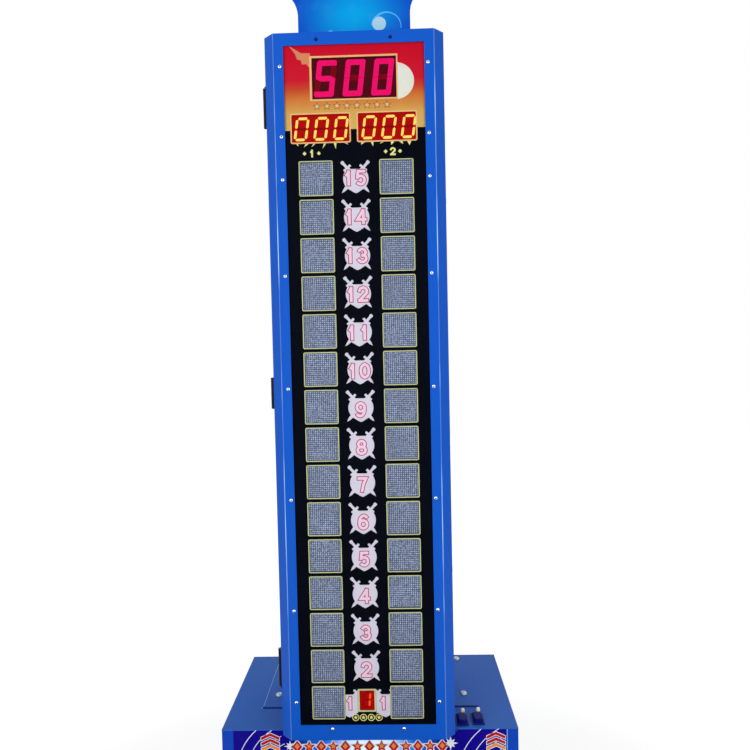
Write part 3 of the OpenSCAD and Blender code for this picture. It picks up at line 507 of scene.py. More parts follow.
def mix_finishes(settings):
    """Makes every finish once, from the panel's colours."""
    blue = settings.door_blue
    recipes = {
        "door_paint": (folded_paint, blue),
        "shell_paint": (paint, shade(blue, 0.84), 0.34, 0.09, 0.08),
        "top_paint": (paint, settings.top_blue, 0.55, 0.12, 0.1, 0.6),
        "body_paint": (paint, shade(blue, 0.8), 0.36, 0.1, 0.12),
        "black_paint": (paint, tone(26, 27, 30), 0.42, 0.2, 0.35, 0.3),
        "deck_plate": (tread, tone(52, 55, 60)),
        "zinc": (metal, tone(214, 216, 214), 0.3, (1, 1, 6)),
        "bright_screw": (metal, tone(232, 236, 238), 0.26, (1, 1, 1), 0.08),
        "bolt_head": (metal, tone(206, 210, 200), 0.45, (1, 1, 1), 0.1, 0.12),
        "spring_wire": (metal, tone(120, 124, 130), 0.32, (6, 6, 1)),
        "brass": (metal, tone(206, 168, 88), 0.3),
        "hinge_black": (moulded, tone(9, 10, 12), 0.42, 0.12, 0.15),
        "black_plastic": (moulded, tone(24, 24, 26), 0.42),
        "grey_plastic": (moulded, tone(104, 108, 116), 0.45),
        "dark_rubber": (moulded, tone(30, 30, 31), 0.62, 0.3, 0.5, 500.0),
        "pad_rubber": (moulded, tone(176, 26, 28), 0.5, 0.35, 0.5, 380.0),
        "pad_ring": (moulded, tone(236, 196, 60), 0.5, 0.35, 0.4, 380.0),
        "cone_paper": (moulded, tone(38, 38, 40), 0.85, 0.15, 0.7, 700.0),
        "button_blue": (moulded, tone(12, 13, 88), 0.4, 0.03, 0.05, 900.0, (tone(3, 5, 120), 0.13)),
        "navy_plastic": (moulded, tone(8, 32, 104), 0.42, 0.08, 0.1),
        "red_plastic": (moulded, tone(190, 26, 22), 0.3, 0.5, 0.1),
        "lamp_tip": (moulded, tone(214, 212, 190), 0.3, 0.5, 0.1, 900.0, (tone(222, 218, 190), 0.25)),
        "tube_glass": (lit, tone(240, 246, 255), 0.9, tone(220, 224, 228)),
        "tile_face": (lens, tone(94, 104, 130), 0.4, 0.12),
        "tile_dot": (lens, tone(172, 186, 214), 0.32, 0.2),
        "board_green": (moulded, tone(18, 92, 52), 0.35, 0.5, 0.1, 1800.0),
        "chip_black": (moulded, tone(26, 27, 30), 0.5, 0.4, 0.3, 1600.0),
        "score_window": (moulded, tone(26, 2, 8), 0.3, 0.05, 0.05, 900.0, (tone(88, 1, 12), 0.7)),
        "player_window": (moulded, tone(120, 4, 5), 0.3, 0.05, 0.05, 900.0, (tone(178, 6, 6), 0.56)),
        "score_lit": (lit, settings.score_light, 1.05),
        "score_dim": (lit, tone(130, 3, 24), 0.85),
        "player_lit": (lit, settings.player_light, 1.12, tone(180, 60, 10)),
        "player_dim": (lit, tone(176, 8, 8), 0.62),
        "credit_lit": (lit, tone(255, 92, 40), 0.9),
        "cream_ink": (ink, tone(240, 194, 134)),
        "cell_ink": (ink, tone(208, 213, 160)),
        "label_ink": (ink, tone(238, 236, 150)),
        "shield_ink": (ink, settings.shield, 0.45, 0.05),
        "number_fill": (ink, tone(240, 210, 228), 0.45, 0.03),
        "number_edge": (ink, tone(178, 26, 88)),
        "moon_ink": (ink, tone(230, 231, 220), 0.45, 0.05),
        "ray_ink": (ink, tone(216, 140, 100)),
        "brown_ink": (ink, tone(98, 66, 28)),
        "white_ink": (ink, tone(226, 232, 244), 0.4, 0.03),
        "crimson_ink": (ink, tone(186, 24, 34)),
        "gold_ink": (ink, tone(224, 142, 74)),
        "pale_glow": (ink, tone(162, 204, 222), 0.3, 0.05, 0.1),
        "sky_glow": (ink, tone(84, 172, 240), 0.3, 0.05, 0.1),
        "pale_blue": (ink, tone(132, 172, 226), 0.4, 0.05),
        "score_sheet": (score_print, settings),
        "console_sheet": (console_print,),
        "topper_sheet": (topper_print, settings),
        "front_sheet": (clear_sheet,),
        "ash": (ash_wood,),
    }
    for name, (make, *values) in recipes.items():
        FINISHES[name] = make(name, *values)


# Outlines, as lists of (across, up) in millimetres

def polar(x, z, radius, angle):
    """The point at a distance and angle from another."""
    return x + radius * math.cos(angle), z + radius * math.sin(angle)


def circle(radius, count, x=0.0, z=0.0):
    return [polar(x, z, radius, 2 * math.pi / count * i) for i in range(count)]


def round_rect(width, height, radius, corner=4, x=0.0, z=0.0):
    points = []
    for quarter, (sx, sz) in enumerate([(1, 1), (-1, 1), (-1, -1), (1, -1)]):
        for i in range(corner + 1):
            points.append(polar(x + sx * (width / 2 - radius), z + sz * (height / 2 - radius), radius,
                                math.pi / 2 * (quarter + i / corner)))
    return points


def star(outer, inner, x=0.0, z=0.0):
    """A five-pointed star, one point up."""
    return [polar(x, z, inner if i % 2 else outer, math.pi / 2 + math.pi * i / 5)
            for i in range(10)]


def moved(outline, x=0.0, z=0.0, turn=0.0, scale=1.0):
    c, s = math.cos(turn) * scale, math.sin(turn) * scale
    return [(x + c * a - s * b, z + s * a + c * b) for a, b in outline]


def grown(outline, by):
    """A closed convex-like outline moved outwards by a distance."""
    count = len(outline)
    area = sum(outline[i - 1][0] * outline[i][1] - outline[i][0] * outline[i - 1][1]
               for i in range(count))
    side = 1 if area > 0 else -1
    points = []
    for i in range(count):
        before = Vector(outline[i]) - Vector(outline[i - 1])
        after = Vector(outline[(i + 1) % count]) - Vector(outline[i])
        n1 = Vector((before.y, -before.x)).normalized() * side
        n2 = Vector((after.y, -after.x)).normalized() * side
        n = n1 + n2
        n = n.normalized() if n.length > 1e-6 else n1
        reach = by / max(0.35, n.dot(n1))
        points.append(tuple(Vector(outline[i]) + n * reach))
    return points


class Work:
    """A mesh in the making, in drawing millimetres. finish is the slot that the next faces take."""

    def __init__(self):
        self.mesh = bmesh.new()
        self.finish = 0

    def face(self, verts):
        if len(set(verts)) > 2:
            made = self.mesh.faces.new(verts)
            made.material_index = self.finish

    def skin(self, rings, closed=False):
        """Faces between rings of equal length, with a lid on each end unless closed."""
        loops = [[self.mesh.verts.new(p) for p in ring] for ring in rings]
        pairs = list(zip(loops, loops[1:]))
        if closed:
            pairs.append((loops[-1], loops[0]))
        for a, b in pairs:
            for i in range(len(a)):
                self.face((a[i - 1], a[i], b[i], b[i - 1]))
        if not closed:
            self.face(loops[0])
            self.face(loops[-1][::-1])

    def print(self, outline, front, back=None):
        """A flat motif facing the player, front and back being its two Y levels."""
        back = PANEL_Y if back is None else back
        self.skin([[(x, front, z) for x, z in outline], [(x, back, z) for x, z in outline]])

    def border(self, outer, inner, front, back=None):
        back = PANEL_Y if back is None else back
        self.skin([[(x, y, z) for x, z in line] for line, y in
                   ((outer, front), (inner, front), (inner, back), (outer, back))], closed=True)

    def slab(self, outline, low, high):
        """A flat motif lying on something, low and high being its two Z levels."""
        self.skin([[(x, y, low) for x, y in outline], [(x, y, high) for x, y in outline]])

    def lathe(self, profile, middle, axis="z", steps=32, sign=1):
        """Turns (radius, distance) pairs about an axis through a point. A profile that ends where it
        starts is closed into a ring."""
        x, y, z = middle
        rings = []
        for r, d in profile:
            ring = []
            for i in range(steps):
                a = 2 * math.pi * i / steps
                u, v = r * math.cos(a), r * math.sin(a)
                ring.append({"z": (x + u, y + v, z + sign * d), "y": (x + u, y + sign * d, z + v),
                             "x": (x + sign * d, y + u, z + v)}[axis])
            rings.append(ring)
        closed = profile[0] == profile[-1]
        if closed:
            rings.pop()
        self.skin(rings, closed)

    def box(self, x, y, z):
        self.skin([[(x[0], y[0], h), (x[1], y[0], h), (x[1], y[1], h), (x[0], y[1], h)] for h in z])

    def tube(self, path, radius, sides):
        points = [Vector(p) for p in path]
        rings = []
        side = None
        for i, point in enumerate(points):
            along = (points[min(i + 1, len(points) - 1)] - points[max(i - 1, 0)]).normalized()
            if side is None:
                side = along.orthogonal().normalized()
            side = (side - along * side.dot(along)).normalized()
            other = along.cross(side)
            rings.append([tuple(point + radius * (math.cos(a) * side + math.sin(a) * other))
                          for a in (2 * math.pi * k / sides for k in range(sides))])
        self.skin(rings)

    def ribbon(self, left, right, front, back=None):
        """A printed line between its two sides."""
        back = PANEL_Y if back is None else back
        self.skin([[(a[0], front, a[1]), (b[0], front, b[1]), (b[0], back, b[1]), (a[0], back, a[1])]
                   for a, b in zip(left, right)])

    def clip(self, place, direction):
        """Cuts away what lies beyond a plane and closes the cut."""
        parts = self.mesh.verts[:] + self.mesh.edges[:] + self.mesh.faces[:]
        cut = bmesh.ops.bisect_plane(
            self.mesh, geom=parts, plane_co=place, plane_no=direction, clear_outer=True)
        rim = [e for e in cut["geom_cut"] if isinstance(e, bmesh.types.BMEdge)]
        bmesh.ops.edgeloop_fill(self.mesh, edges=rim)

    def done(self, name, finishes, body, slot, replaces="", soft=30):
        """Turns the work into a piece that rides on a body."""
        bmesh.ops.remove_doubles(self.mesh, verts=self.mesh.verts, dist=1e-4)
        bmesh.ops.recalc_face_normals(self.mesh, faces=self.mesh.faces)
        self.mesh.transform(Matrix.Translation((0, FRONT, 0)) @ Matrix.Scale(MM, 4))
        data = bpy.data.meshes.new(name)
        self.mesh.to_mesh(data)
        self.mesh.free()
        for finish in finishes.split():
            data.materials.append(FINISHES[finish])
        data.shade_smooth()
        data.set_sharp_from_angle(angle=math.radians(soft))
        piece = bpy.data.objects.new(name, data)
        bpy.context.scene.collection.objects.link(piece)
        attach(piece, body)
        if replaces:
            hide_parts(*replaces.split())
        return piece


def weld_corners(piece):
    """Joins the corners of a CAD mesh and the triangles of its flat faces."""
    joined = piece.modifiers.new("joined", "WELD")
    joined.merge_threshold = 1e-5
    flat = piece.modifiers.new("flat", "DECIMATE")
    flat.decimate_type = "DISSOLVE"
    flat.angle_limit = math.radians(0.8)


def ease_edges(piece, width):
    """Breaks a piece's sharp edges, as folding, sawing or moulding leaves them."""
    eased = piece.modifiers.new("eased", "BEVEL")
    eased.width = width * MM
    eased.segments = 2
    eased.limit_method = "ANGLE"
    eased.angle_limit = math.radians(40)


def even_normals(piece):
    """Shades large flat faces flat, whatever small faces touch them."""
    even = piece.modifiers.new("even", "WEIGHTED_NORMAL")
    even.mode = "FACE_AREA"
    even.weight = 100
    even.keep_sharp = False


def dress(nodes, finish, ease=0.0):
    """Gives CAD nodes their finish and broken edges."""
    for node in nodes.split():
        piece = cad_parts[node]
        piece.data.materials.clear()
        piece.data.materials.append(FINISHES[finish])
        weld_corners(piece)
        if ease:
            ease_edges(piece, ease)
        else:
            creased = piece.modifiers.new("creased", "EDGE_SPLIT")
            creased.split_angle = math.radians(35)
        even_normals(piece)


def arc(x, z, wide, tall, start, end, count=20):
    """Points on part of an ellipse, from one angle in degrees to another."""
    turns = [math.radians(start + (end - start) * i / count) for i in range(count + 1)]
    return [(x + wide * math.cos(a), z + tall * math.sin(a)) for a in turns]


# Pen lines of plain numerals in a square from -1 to 1. A line that ends where it starts is a ring
NUMERALS = {
    "0": [arc(0, 0, 1, 1, 0, 360, 36)],
    "1": [[(0.42, 1), (0.42, -1)], [(-0.8, 0.42), (-0.2, 0.62), (0.42, 0.93)]],
    "2": [arc(0, 0.42, 0.95, 0.58, 168, -28) + [(-0.86, -0.97)], [(-0.98, -1), (1, -1)]],
    "3": [arc(0, 0.49, 0.84, 0.51, 152, -86), arc(0, -0.46, 0.98, 0.54, 86, -156)],
    "4": [[(0.48, -1), (0.48, 1)], [(0.40, 0.98), (-1, -0.42), (1, -0.42)]],
    "5": [[(0.86, 1), (-0.62, 1)], [(-0.62, 1), (-0.80, 0.02)],
          arc(0, -0.36, 0.98, 0.64, 132, -132)],
    "6": [arc(0, -0.38, 0.96, 0.62, 0, 360, 36), arc(0.16, -0.1, 1.12, 1.1, 182, 52)],
    "7": [[(-0.95, 1), (0.94, 1), (0.30, 0.12), (-0.12, -1)]],
    "8": [arc(0, 0.5, 0.80, 0.5, 0, 360, 36), arc(0, -0.46, 0.98, 0.54, 0, 360, 36)],
    "9": [arc(0, 0.38, 0.96, 0.62, 0, 360, 36), arc(-0.16, 0.1, 1.12, 1.1, 2, -128)],
}


def pen_sides(path, width, ring):
    """Both sides of a line drawn with a broad pen."""
    points = [Vector(p) for p in path]
    count = len(points)
    sides = ([], [])
    for i, point in enumerate(points):
        before = points[i - 1] if ring or i else point
        after = points[(i + 1) % count] if ring or i < count - 1 else point
        first, second = point - before, after - point
        if first.length < 1e-6:
            first = second
        if second.length < 1e-6:
            second = first
        n1, n2 = [Vector((-d.y, d.x)).normalized() for d in (first, second)]
        n = (n1 + n2).normalized()
        for side, way in zip(sides, (1, -1)):
            side.append(tuple(point + n * (way * width / 2 / max(0.45, n.dot(n1)))))
    return sides


def numeral(work, text, x, z, width, height, pen, grow, front):
    """Prints a plain number, centred, its pen lines grown by a distance. Each line of a numeral
    lies a hair lower than the one before, as layers of ink do."""
    pitch = width * 1.1
    at = x - pitch * (len(text) - 1) / 2
    for figure in text:
        cell = width * (0.6 if figure == "1" else 1.0)
        half_x, half_z = (cell - pen) / 2, (height - pen) / 2
        for layer, line in enumerate(NUMERALS[figure]):
            path = [(at + u * half_x, z + v * half_z) for u, v in line]
            ring = (Vector(path[0]) - Vector(path[-1])).length < 0.01
            if ring:
                path.pop()
            else:
                for end, inner in ((0, 1), (-1, -2)):
                    away = (Vector(path[end]) - Vector(path[inner])).normalized()
                    path[end] = tuple(Vector(path[end]) + away * (grow + pen * 0.42))
            left, right = pen_sides(path, pen + 2 * grow, ring)
            level = front - 0.012 * layer
            if ring:
                work.border(left, right, level)
            else:
                work.ribbon(left, right, level)
        at += pitch


# Seven-segment figures

FIGURES = {"0": "abcdef", "1": "bc", "2": "abged", "3": "abgcd", "4": "fgbc", "5": "afgcd",
           "6": "afgedc", "7": "abc", "8": "abcdefg", "9": "abcdfg"}


def segment(key, width, height, thick, gap, lean):
    """One hexagonal bar of a figure centred on zero."""
    h = thick / 2
    left, right = -width / 2 + h, width / 2 - h
    top, low = height / 2 - h, -height / 2 + h
    ends = {"a": ((left, top), (right, top)), "g": ((left, 0), (right, 0)),
            "d": ((left, low), (right, low)), "f": ((left, 0), (left, top)),
            "b": ((right, 0), (right, top)), "e": ((left, low), (left, 0)),
            "c": ((right, low), (right, 0))}[key]
    start, end = Vector(ends[0]), Vector(ends[1])
    along = (end - start).normalized()
    side = Vector((-along.y, along.x))
    start += along * gap
    end -= along * gap
    tip = h * 0.92
    points = [start, start + along * tip + side * h, end - along * tip + side * h, end,
              end - along * tip - side * h, start + along * tip - side * h]
    return [(p.x + lean * p.y, p.y) for p in points]


def square_bar(key, width, height, thick, gap, lean):
    """One bar of a figure whose bars run on into rounded corners, with a slight waist."""
    x, z, t, r = width / 2, height / 2, thick, thick * 0.3
    if key in "ad":
        points = [(-x + r, z), (x - r, z), (x, z - r), (x, z - t), (-x, z - t), (-x, z - r)]
    elif key == "g":
        points = [(-x + gap, 0), (-x + t, t / 2), (x - t, t / 2), (x - gap, 0), (x - t, -t / 2),
                  (-x + t, -t / 2)]
    else:
        points = [(x, gap), (x, z - r), (x - r, z), (x - t, z), (x - t, t * 0.02 + gap)]
    flip_x = -1 if key in "fe" else 1
    flip_z = -1 if key in "dec" else 1
    return [(flip_x * a + lean * flip_z * b, flip_z * b) for a, b in points]


def figures(work, text, middle_x, middle_z, pitch, width, height, thick, gap, lean, face_y,
            bar=segment):
    """Lit and dim bars of a row of figures. Finish 0 is lit and 1 is dim."""
    first = middle_x - pitch * (len(text) - 1) / 2
    for place, figure in enumerate(text):
        for layer, key in enumerate("abcdefg"):
            work.finish = 0 if key in FIGURES[figure] else 1
            outline = moved(bar(key, width, height, thick, gap, lean), first + pitch * place,
                            middle_z)
            work.print(outline, face_y - (0.5 if work.finish else 0.9) - layer * 0.01, face_y)


def swatch(name, description, *levels):
    """A colour on the panel, given on the screen's scale from 0 to 255."""
    return FloatVectorProperty(name=name, description=description, subtype="COLOR", size=4, min=0,
                               max=1, default=tone(*levels))


class StrengthTesterColours(bpy.types.PropertyGroup):
    """Colours of the painted, printed and lit surfaces."""
    door_blue: swatch("Door blue", "Paint of the tower door", 15, 85, 193)
    top_blue: swatch("Console top blue", "Textured paint of the console top", 45, 102, 187)
    sheet_black: swatch("Sheet black", "Black field of the score sheet", 6, 9, 19)
    shield: swatch("Shield white", "Shields and swords between the lights", 218, 214, 230)
    score_light: swatch("Score light", "Lit bars of the top display", 243, 12, 108)
    player_light: swatch("Player light", "Lit bars of the two player displays", 255, 222, 104)
    topper_light: swatch("Topper middle", "Bright middle of the topper", 2, 164, 234)
    topper_deep: swatch("Topper edge", "Deep edge of the topper", 11, 78, 198)


class StrengthTesterShow(bpy.types.PropertyGroup):
    """What the displays show and how the studio lights the machine."""
    top_score: IntProperty(
        name="Top score", description="Figures on the large display", default=500, min=0, max=999)
    first_score: IntProperty(
        name="First player", description="Figures on the left small display", default=0, min=0,
        max=999)
    second_score: IntProperty(
        name="Second player", description="Figures on the right small display", default=0, min=0,
        max=999)
    coins: IntProperty(
        name="Coins", description="Figure on the coin display", default=1, min=0, max=9)
    edge: FloatProperty(
        name="Sheet edge", description="Rounding of folded sheet edges", default=0.0012, min=0.0002,
        max=0.003, unit="LENGTH")
    key_power: FloatProperty(
        name="Key light", description="Power of the large light on the left", default=84.0, min=0,
        unit="POWER")
    fill_power: FloatProperty(
        name="Fill light", description="Power of the large light on the right", default=62.0, min=0,
        unit="POWER")
    room: FloatProperty(
        name="Room light", description="Level of the even light from all round", default=0.37, min=0,
        max=2, subtype="FACTOR")


def colours():
    return bpy.context.scene.strength_tester_colours


def show():
    return bpy.context.scene.strength_tester_show


CAMERA_PLACE = (0.07978, -1.5314, 1.54159)
CAMERA_TURN = (-0.02583, 0.03856, -0.02146)
CAMERA_LENS = 31.858
FLOOR_NEAR, FLOOR_FAR = 1.2, 2.0
FLOOR_WHITE = 0.68


class TESTER_OT_stage(bpy.types.Operator):
    """Sets the floor, the pale surround, the lights and the camera."""
    bl_idname = "strength_tester.stage"
    bl_label = "Stage, lights and camera"

    def execute(self, context):
        self.camera(context)
        self.surround(context)
        self.floor(context)
        self.lamps(context)
        context.scene.view_settings.view_transform = "Standard"
        return {"FINISHED"}

    def camera(self, context):
        yaw, pitch, roll = CAMERA_TURN
        ahead = Vector((math.sin(yaw) * math.cos(pitch), math.cos(yaw) * math.cos(pitch),
                        -math.sin(pitch)))
        right = Vector((math.cos(yaw), -math.sin(yaw), 0))
        up = right.cross(ahead)
        right, up = (right * math.cos(roll) + up * math.sin(roll),
                     up * math.cos(roll) - right * math.sin(roll))
        lens = bpy.data.cameras.new("camera")
        lens.lens = CAMERA_LENS
        lens.sensor_width = 36.0
        camera = bpy.data.objects.new("camera", lens)
        turned = Matrix((right, up, -ahead)).transposed().to_4x4()
        camera.matrix_world = Matrix.Translation(CAMERA_PLACE) @ turned
        context.scene.collection.objects.link(camera)
        context.scene.camera = camera

    def surround(self, context):
        world = bpy.data.worlds.new("surround")
        context.scene.world = world
        g = Graph(world)
        level = g.direct_view() * (1 - show().room) + show().room
        g.show(g.add("ShaderNodeBackground", None, {"Color": (1, 1, 1, 1), "Strength": level}), "World")

    def floor(self, context):
        g = Graph("pale_floor")
        cloud = g.noise(1.5, 3.0)
        base = g.mix(cloud, (0.86, 0.86, 0.86, 1), (0.9, 0.9, 0.9, 1))
        matt = g.add("ShaderNodeBsdfDiffuse", None, {"Color": base})
        bright = g.add("ShaderNodeEmission", None, {"Color": (1, 1, 1, 1), "Strength": 1.12})
        x, y, _ = g.axes()
        far = (x ** 2 + y ** 2).math("SQRT").ramp_up(FLOOR_NEAR, FLOOR_FAR)
        seen = g.direct_view() * (far * (1 - FLOOR_WHITE) + FLOOR_WHITE)
        g.show(g.add("ShaderNodeMixShader", None, {0: seen, 1: matt, 2: bright}))
        made = bmesh.new()
        bmesh.ops.create_grid(made, x_segments=8, y_segments=8, size=9.0)
        made.transform(Matrix.Translation((0, 1.0, -0.0005)))
        data = bpy.data.meshes.new("floor")
        made.to_mesh(data)
        made.free()
        data.materials.append(g.owner)
        floor = bpy.data.objects.new("floor", data)
        context.scene.collection.objects.link(floor)

    def lamps(self, context):
        target = Vector((0, 0.1, 1.3))
        rows = (("key", (-2.3, -3.0, 2.2), 2.6, show().key_power),
                ("fill", (2.6, -2.6, 1.6), 2.4, show().fill_power),
                ("back", (0.4, 3.2, 3.4), 2.6, show().fill_power * 0.8))
        for name, place, size, power in rows:
            data = bpy.data.lights.new(name, "AREA")
            data.size = size
            data.energy = power
            lamp = bpy.data.objects.new(name, data)
            lamp.location = place
            lamp.rotation_mode = "QUATERNION"
            lamp.rotation_quaternion = (target - Vector(place)).to_track_quat("-Z", "Y")
            context.scene.collection.objects.link(lamp)


class TESTER_OT_sheet_metal(bpy.types.Operator):
    """Paints the folded sheets, the frame and the guards, and breaks their edges."""
    bl_idname = "strength_tester.sheet_metal"
    bl_label = "Sheet metal and frame"

    def execute(self, context):
        edge = show().edge / MM
        dress("console_top tower_flange", "top_paint", edge)
        dress("console_front", "console_sheet", edge)
        dress("side_panels console_back rear_door platform_front", "body_paint", edge)
        dress("platform_top", "deck_plate", edge)
        dress("tower_shell", "shell_paint", 0.7)
        dress("door_frame", "door_paint", 0.7)
        dress("topper_case", "shell_paint", 0.8)
        dress("base_frame impact_base pad_collar coin_door cash_box speaker_grilles mallet_cradles",
              "black_paint", 1.0)
        dress("hinge_leaves door_hinge_leaves", "hinge_black", 0.6)
        dress("door_latch_upper door_latch_lower", "zinc", 0.5)
        dress("guide_bushes", "brass", 0.6)
        dress("strike_plunger coin_mech power_supply", "zinc", 0.6)
        dress("strike_sensor power_inlet", "black_plastic", 0.5)
        dress("button_housings", "navy_plastic", 0.5)
        dress("display_board", "board_green", 0.3)
        self.seal()
        return {"FINISHED"}

    @staticmethod
    def seal():
        """A dark bead before the flange as painted shadow where it meets the top, and a pale strip and
        dot on its left edge and front corner as painted highlight.
        """
        low, high = edges("tower_flange")
        x, ahead, z = high.x, low.y, low.z
        flange_marks = Work()
        # The dark bead along the flange's front edge is painted shadow.
        flange_marks.skin([[(a, ahead - 5, z), (a, ahead - 4, z + 0.8), (a, ahead, z + 1.5), (a, ahead, z)]
                   for a in (-x, x)])
        # The pale strip along the left edge and the pale dot at the front corner are painted highlight.
        flange_marks.finish = 1
        flange_marks.slab([(-x, ahead + 2), (1.6 - x, ahead + 2), (1.6 - x, high.y - 2), (-x, high.y - 2)],
                  high.z - 0.2, high.z + 0.1)
        flange_marks.lathe([(0, 1.6), (1.2, 1.2), (2.0, 0.4), (2.0, 0), (0, 0)], (-x - 2.4, ahead - 2, z),
                   "z", 16)
        flange_marks.done("flange_painted_shadow_and_highlight", "navy_plastic pale_blue", "cabinet", "body_blue")


class TESTER_OT_score_sheet(bpy.types.Operator):
    """Prints the score sheet's ground and sets the clear front over it. The ink stands proud of the
    sheet by a hair, so that it doesn't share a plane with the clear front's back."""
    bl_idname = "strength_tester.score_sheet"
    bl_label = "Score sheet and clear front"

    def execute(self, context):
        dress("score_panel", "score_sheet")
        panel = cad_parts["score_panel"]
        ink_layer = panel.modifiers.new("ink_layer", "DISPLACE")
        ink_layer.strength = 0.15 * MM
        ink_layer.mid_level = 0.0
        panel.modifiers.move(len(panel.modifiers) - 1, 1)
        dress("front_glass", "front_sheet")
        return {"FINISHED"}


class TESTER_OT_light_cells(bpy.types.Operator):
    """Prints the pale frames round the lights and sets the dotted lenses behind them."""
    bl_idname = "strength_tester.light_cells"
    bl_label = "Light cells"

    def execute(self, context):
        frames = Work()
        for row in range(ROWS):
            for side in (-1, 1):
                place = {"x": side * COLUMN_X, "z": row_z(row)}
                frames.border(round_rect(85.4, 87.2, 4, **place),
                              round_rect(80.2, 82.2, 1.5, **place), FRAME_INK)
        frames.done("cell_frames", "cell_ink", "front_door", "print")
        for side, name in ((-1, "left"), (1, "right")):
            self.lenses(side, name)
        return {"FINISHED"}

    @staticmethod
    def lenses(side, name):
        """One low pyramid for each dot of a column's lenses."""
        dress("led_tiles_" + name, "tile_face", 0.5)
        dots = Work()
        rim = circle(1.9, 6)
        steps = [(i + 0.5 - DOTS_ACROSS / 2) * LIGHT_SIDE / DOTS_ACROSS for i in range(DOTS_ACROSS)]
        for row in range(ROWS):
            for x in [side * COLUMN_X + step for step in steps]:
                for z in [row_z(row) + step for step in steps]:
                    base = [dots.mesh.verts.new((x + a, TILE_Y + 0.05, z + b)) for a, b in rim]
                    top = dots.mesh.verts.new((x, TILE_Y - 0.9, z))
                    for k in range(6):
                        dots.face((base[k - 1], base[k], top))
                    dots.face(base[::-1])
        dots.done("lens_dots_" + name, "tile_dot", "cabinet", "led_grey", soft=80)


# A plain straight sword along its own up axis, its tip at the top
SWORD = [(-3.2, -52), (3.2, -52), (4.6, -49), (4.2, -46), (3.4, -44), (3.4, -33), (10.5, -33.5),
         (11.5, -30), (10.5, -27), (4.6, -27.5), (4.2, 36), (3.0, 44), (0, 52), (-3.0, 44),
         (-4.2, 36), (-4.6, -27.5), (-10.5, -27), (-11.5, -30), (-10.5, -33.5), (-3.4, -33),
         (-3.4, -44), (-4.2, -46), (-4.6, -49)]
SWORD_LEAN = math.atan2(69, 78)


class TESTER_OT_shields(bpy.types.Operator):
    """Prints the shields, crossed swords and numbers between the two columns."""
    bl_idname = "strength_tester.shields"
    bl_label = "Shields and numbers"

    def execute(self, context):
        shields, fills, lines = Work(), Work(), Work()
        for row in range(1, ROWS):
            z = row_z(row) + 0.4 + 0.09 * (row - 7)
            self.swords(shields, -2, z)
            shields.print(self.shield(-1, z - 4), SHIELD_INK)
            text = str(row + 1)
            spot = (-1.5, z - 9) if row < 9 else (-5, z - 6.5 + (row - 9) * 0.9)
            self.number(lines, fills, text, *spot, 29, 41, 8.8)
        for side in (-1, 1):
            x, z = -1 + side * 46.5, row_z(0) + 2
            half = Work()
            half.print(self.shield(x, z - 5), SHIELD_INK)
            self.swords(half, x, z + 1)
            half.clip((-2 + side * 24, 0, 0), (-side, 0, 0))
            half.clip((side * 57.5, 0, 0), (side, 0, 0))
            data = bpy.data.meshes.new("half")
            half.mesh.to_mesh(data)
            shields.mesh.from_mesh(data)
            bpy.data.meshes.remove(data)
            half.mesh.free()
            self.number(lines, fills, "1", -4 + side * 43, z - 4, 27, 37, 8)
        shields.done("shields", "shield_ink", "front_door", "print")
        lines.done("number_edges", "number_edge", "front_door", "print")
        fills.done("number_fills", "number_fill", "front_door", "print")
        return {"FINISHED"}

    @staticmethod
    def shield(x, z):
        """A round shield with a flat top and a short point."""
        return [(a, min(b, z + 24) - 4.4 * max(0.0, 1 - abs(a - x) / 13) * (b < z))
                for a, b in circle(31.8, 60, x, z)]

    @staticmethod
    def swords(work, x, z):
        """Two crossed swords with their tips down, one a layer over the other."""
        for layer, side in enumerate((-1, 1)):
            work.print(moved(SWORD, x, z, math.pi + side * SWORD_LEAN),
                       SWORD_INK - NEXT_LAYER * layer)

    @staticmethod
    def number(lines, fills, text, x, z, width, height, pen):
        """A pale number over a darker one with broader lines, which shows as its edge."""
        numeral(lines, text, x, z, width, height, pen, 1.1, EDGE_INK)
        numeral(fills, text, x, z, width, height, pen, -0.9, FILL_INK)


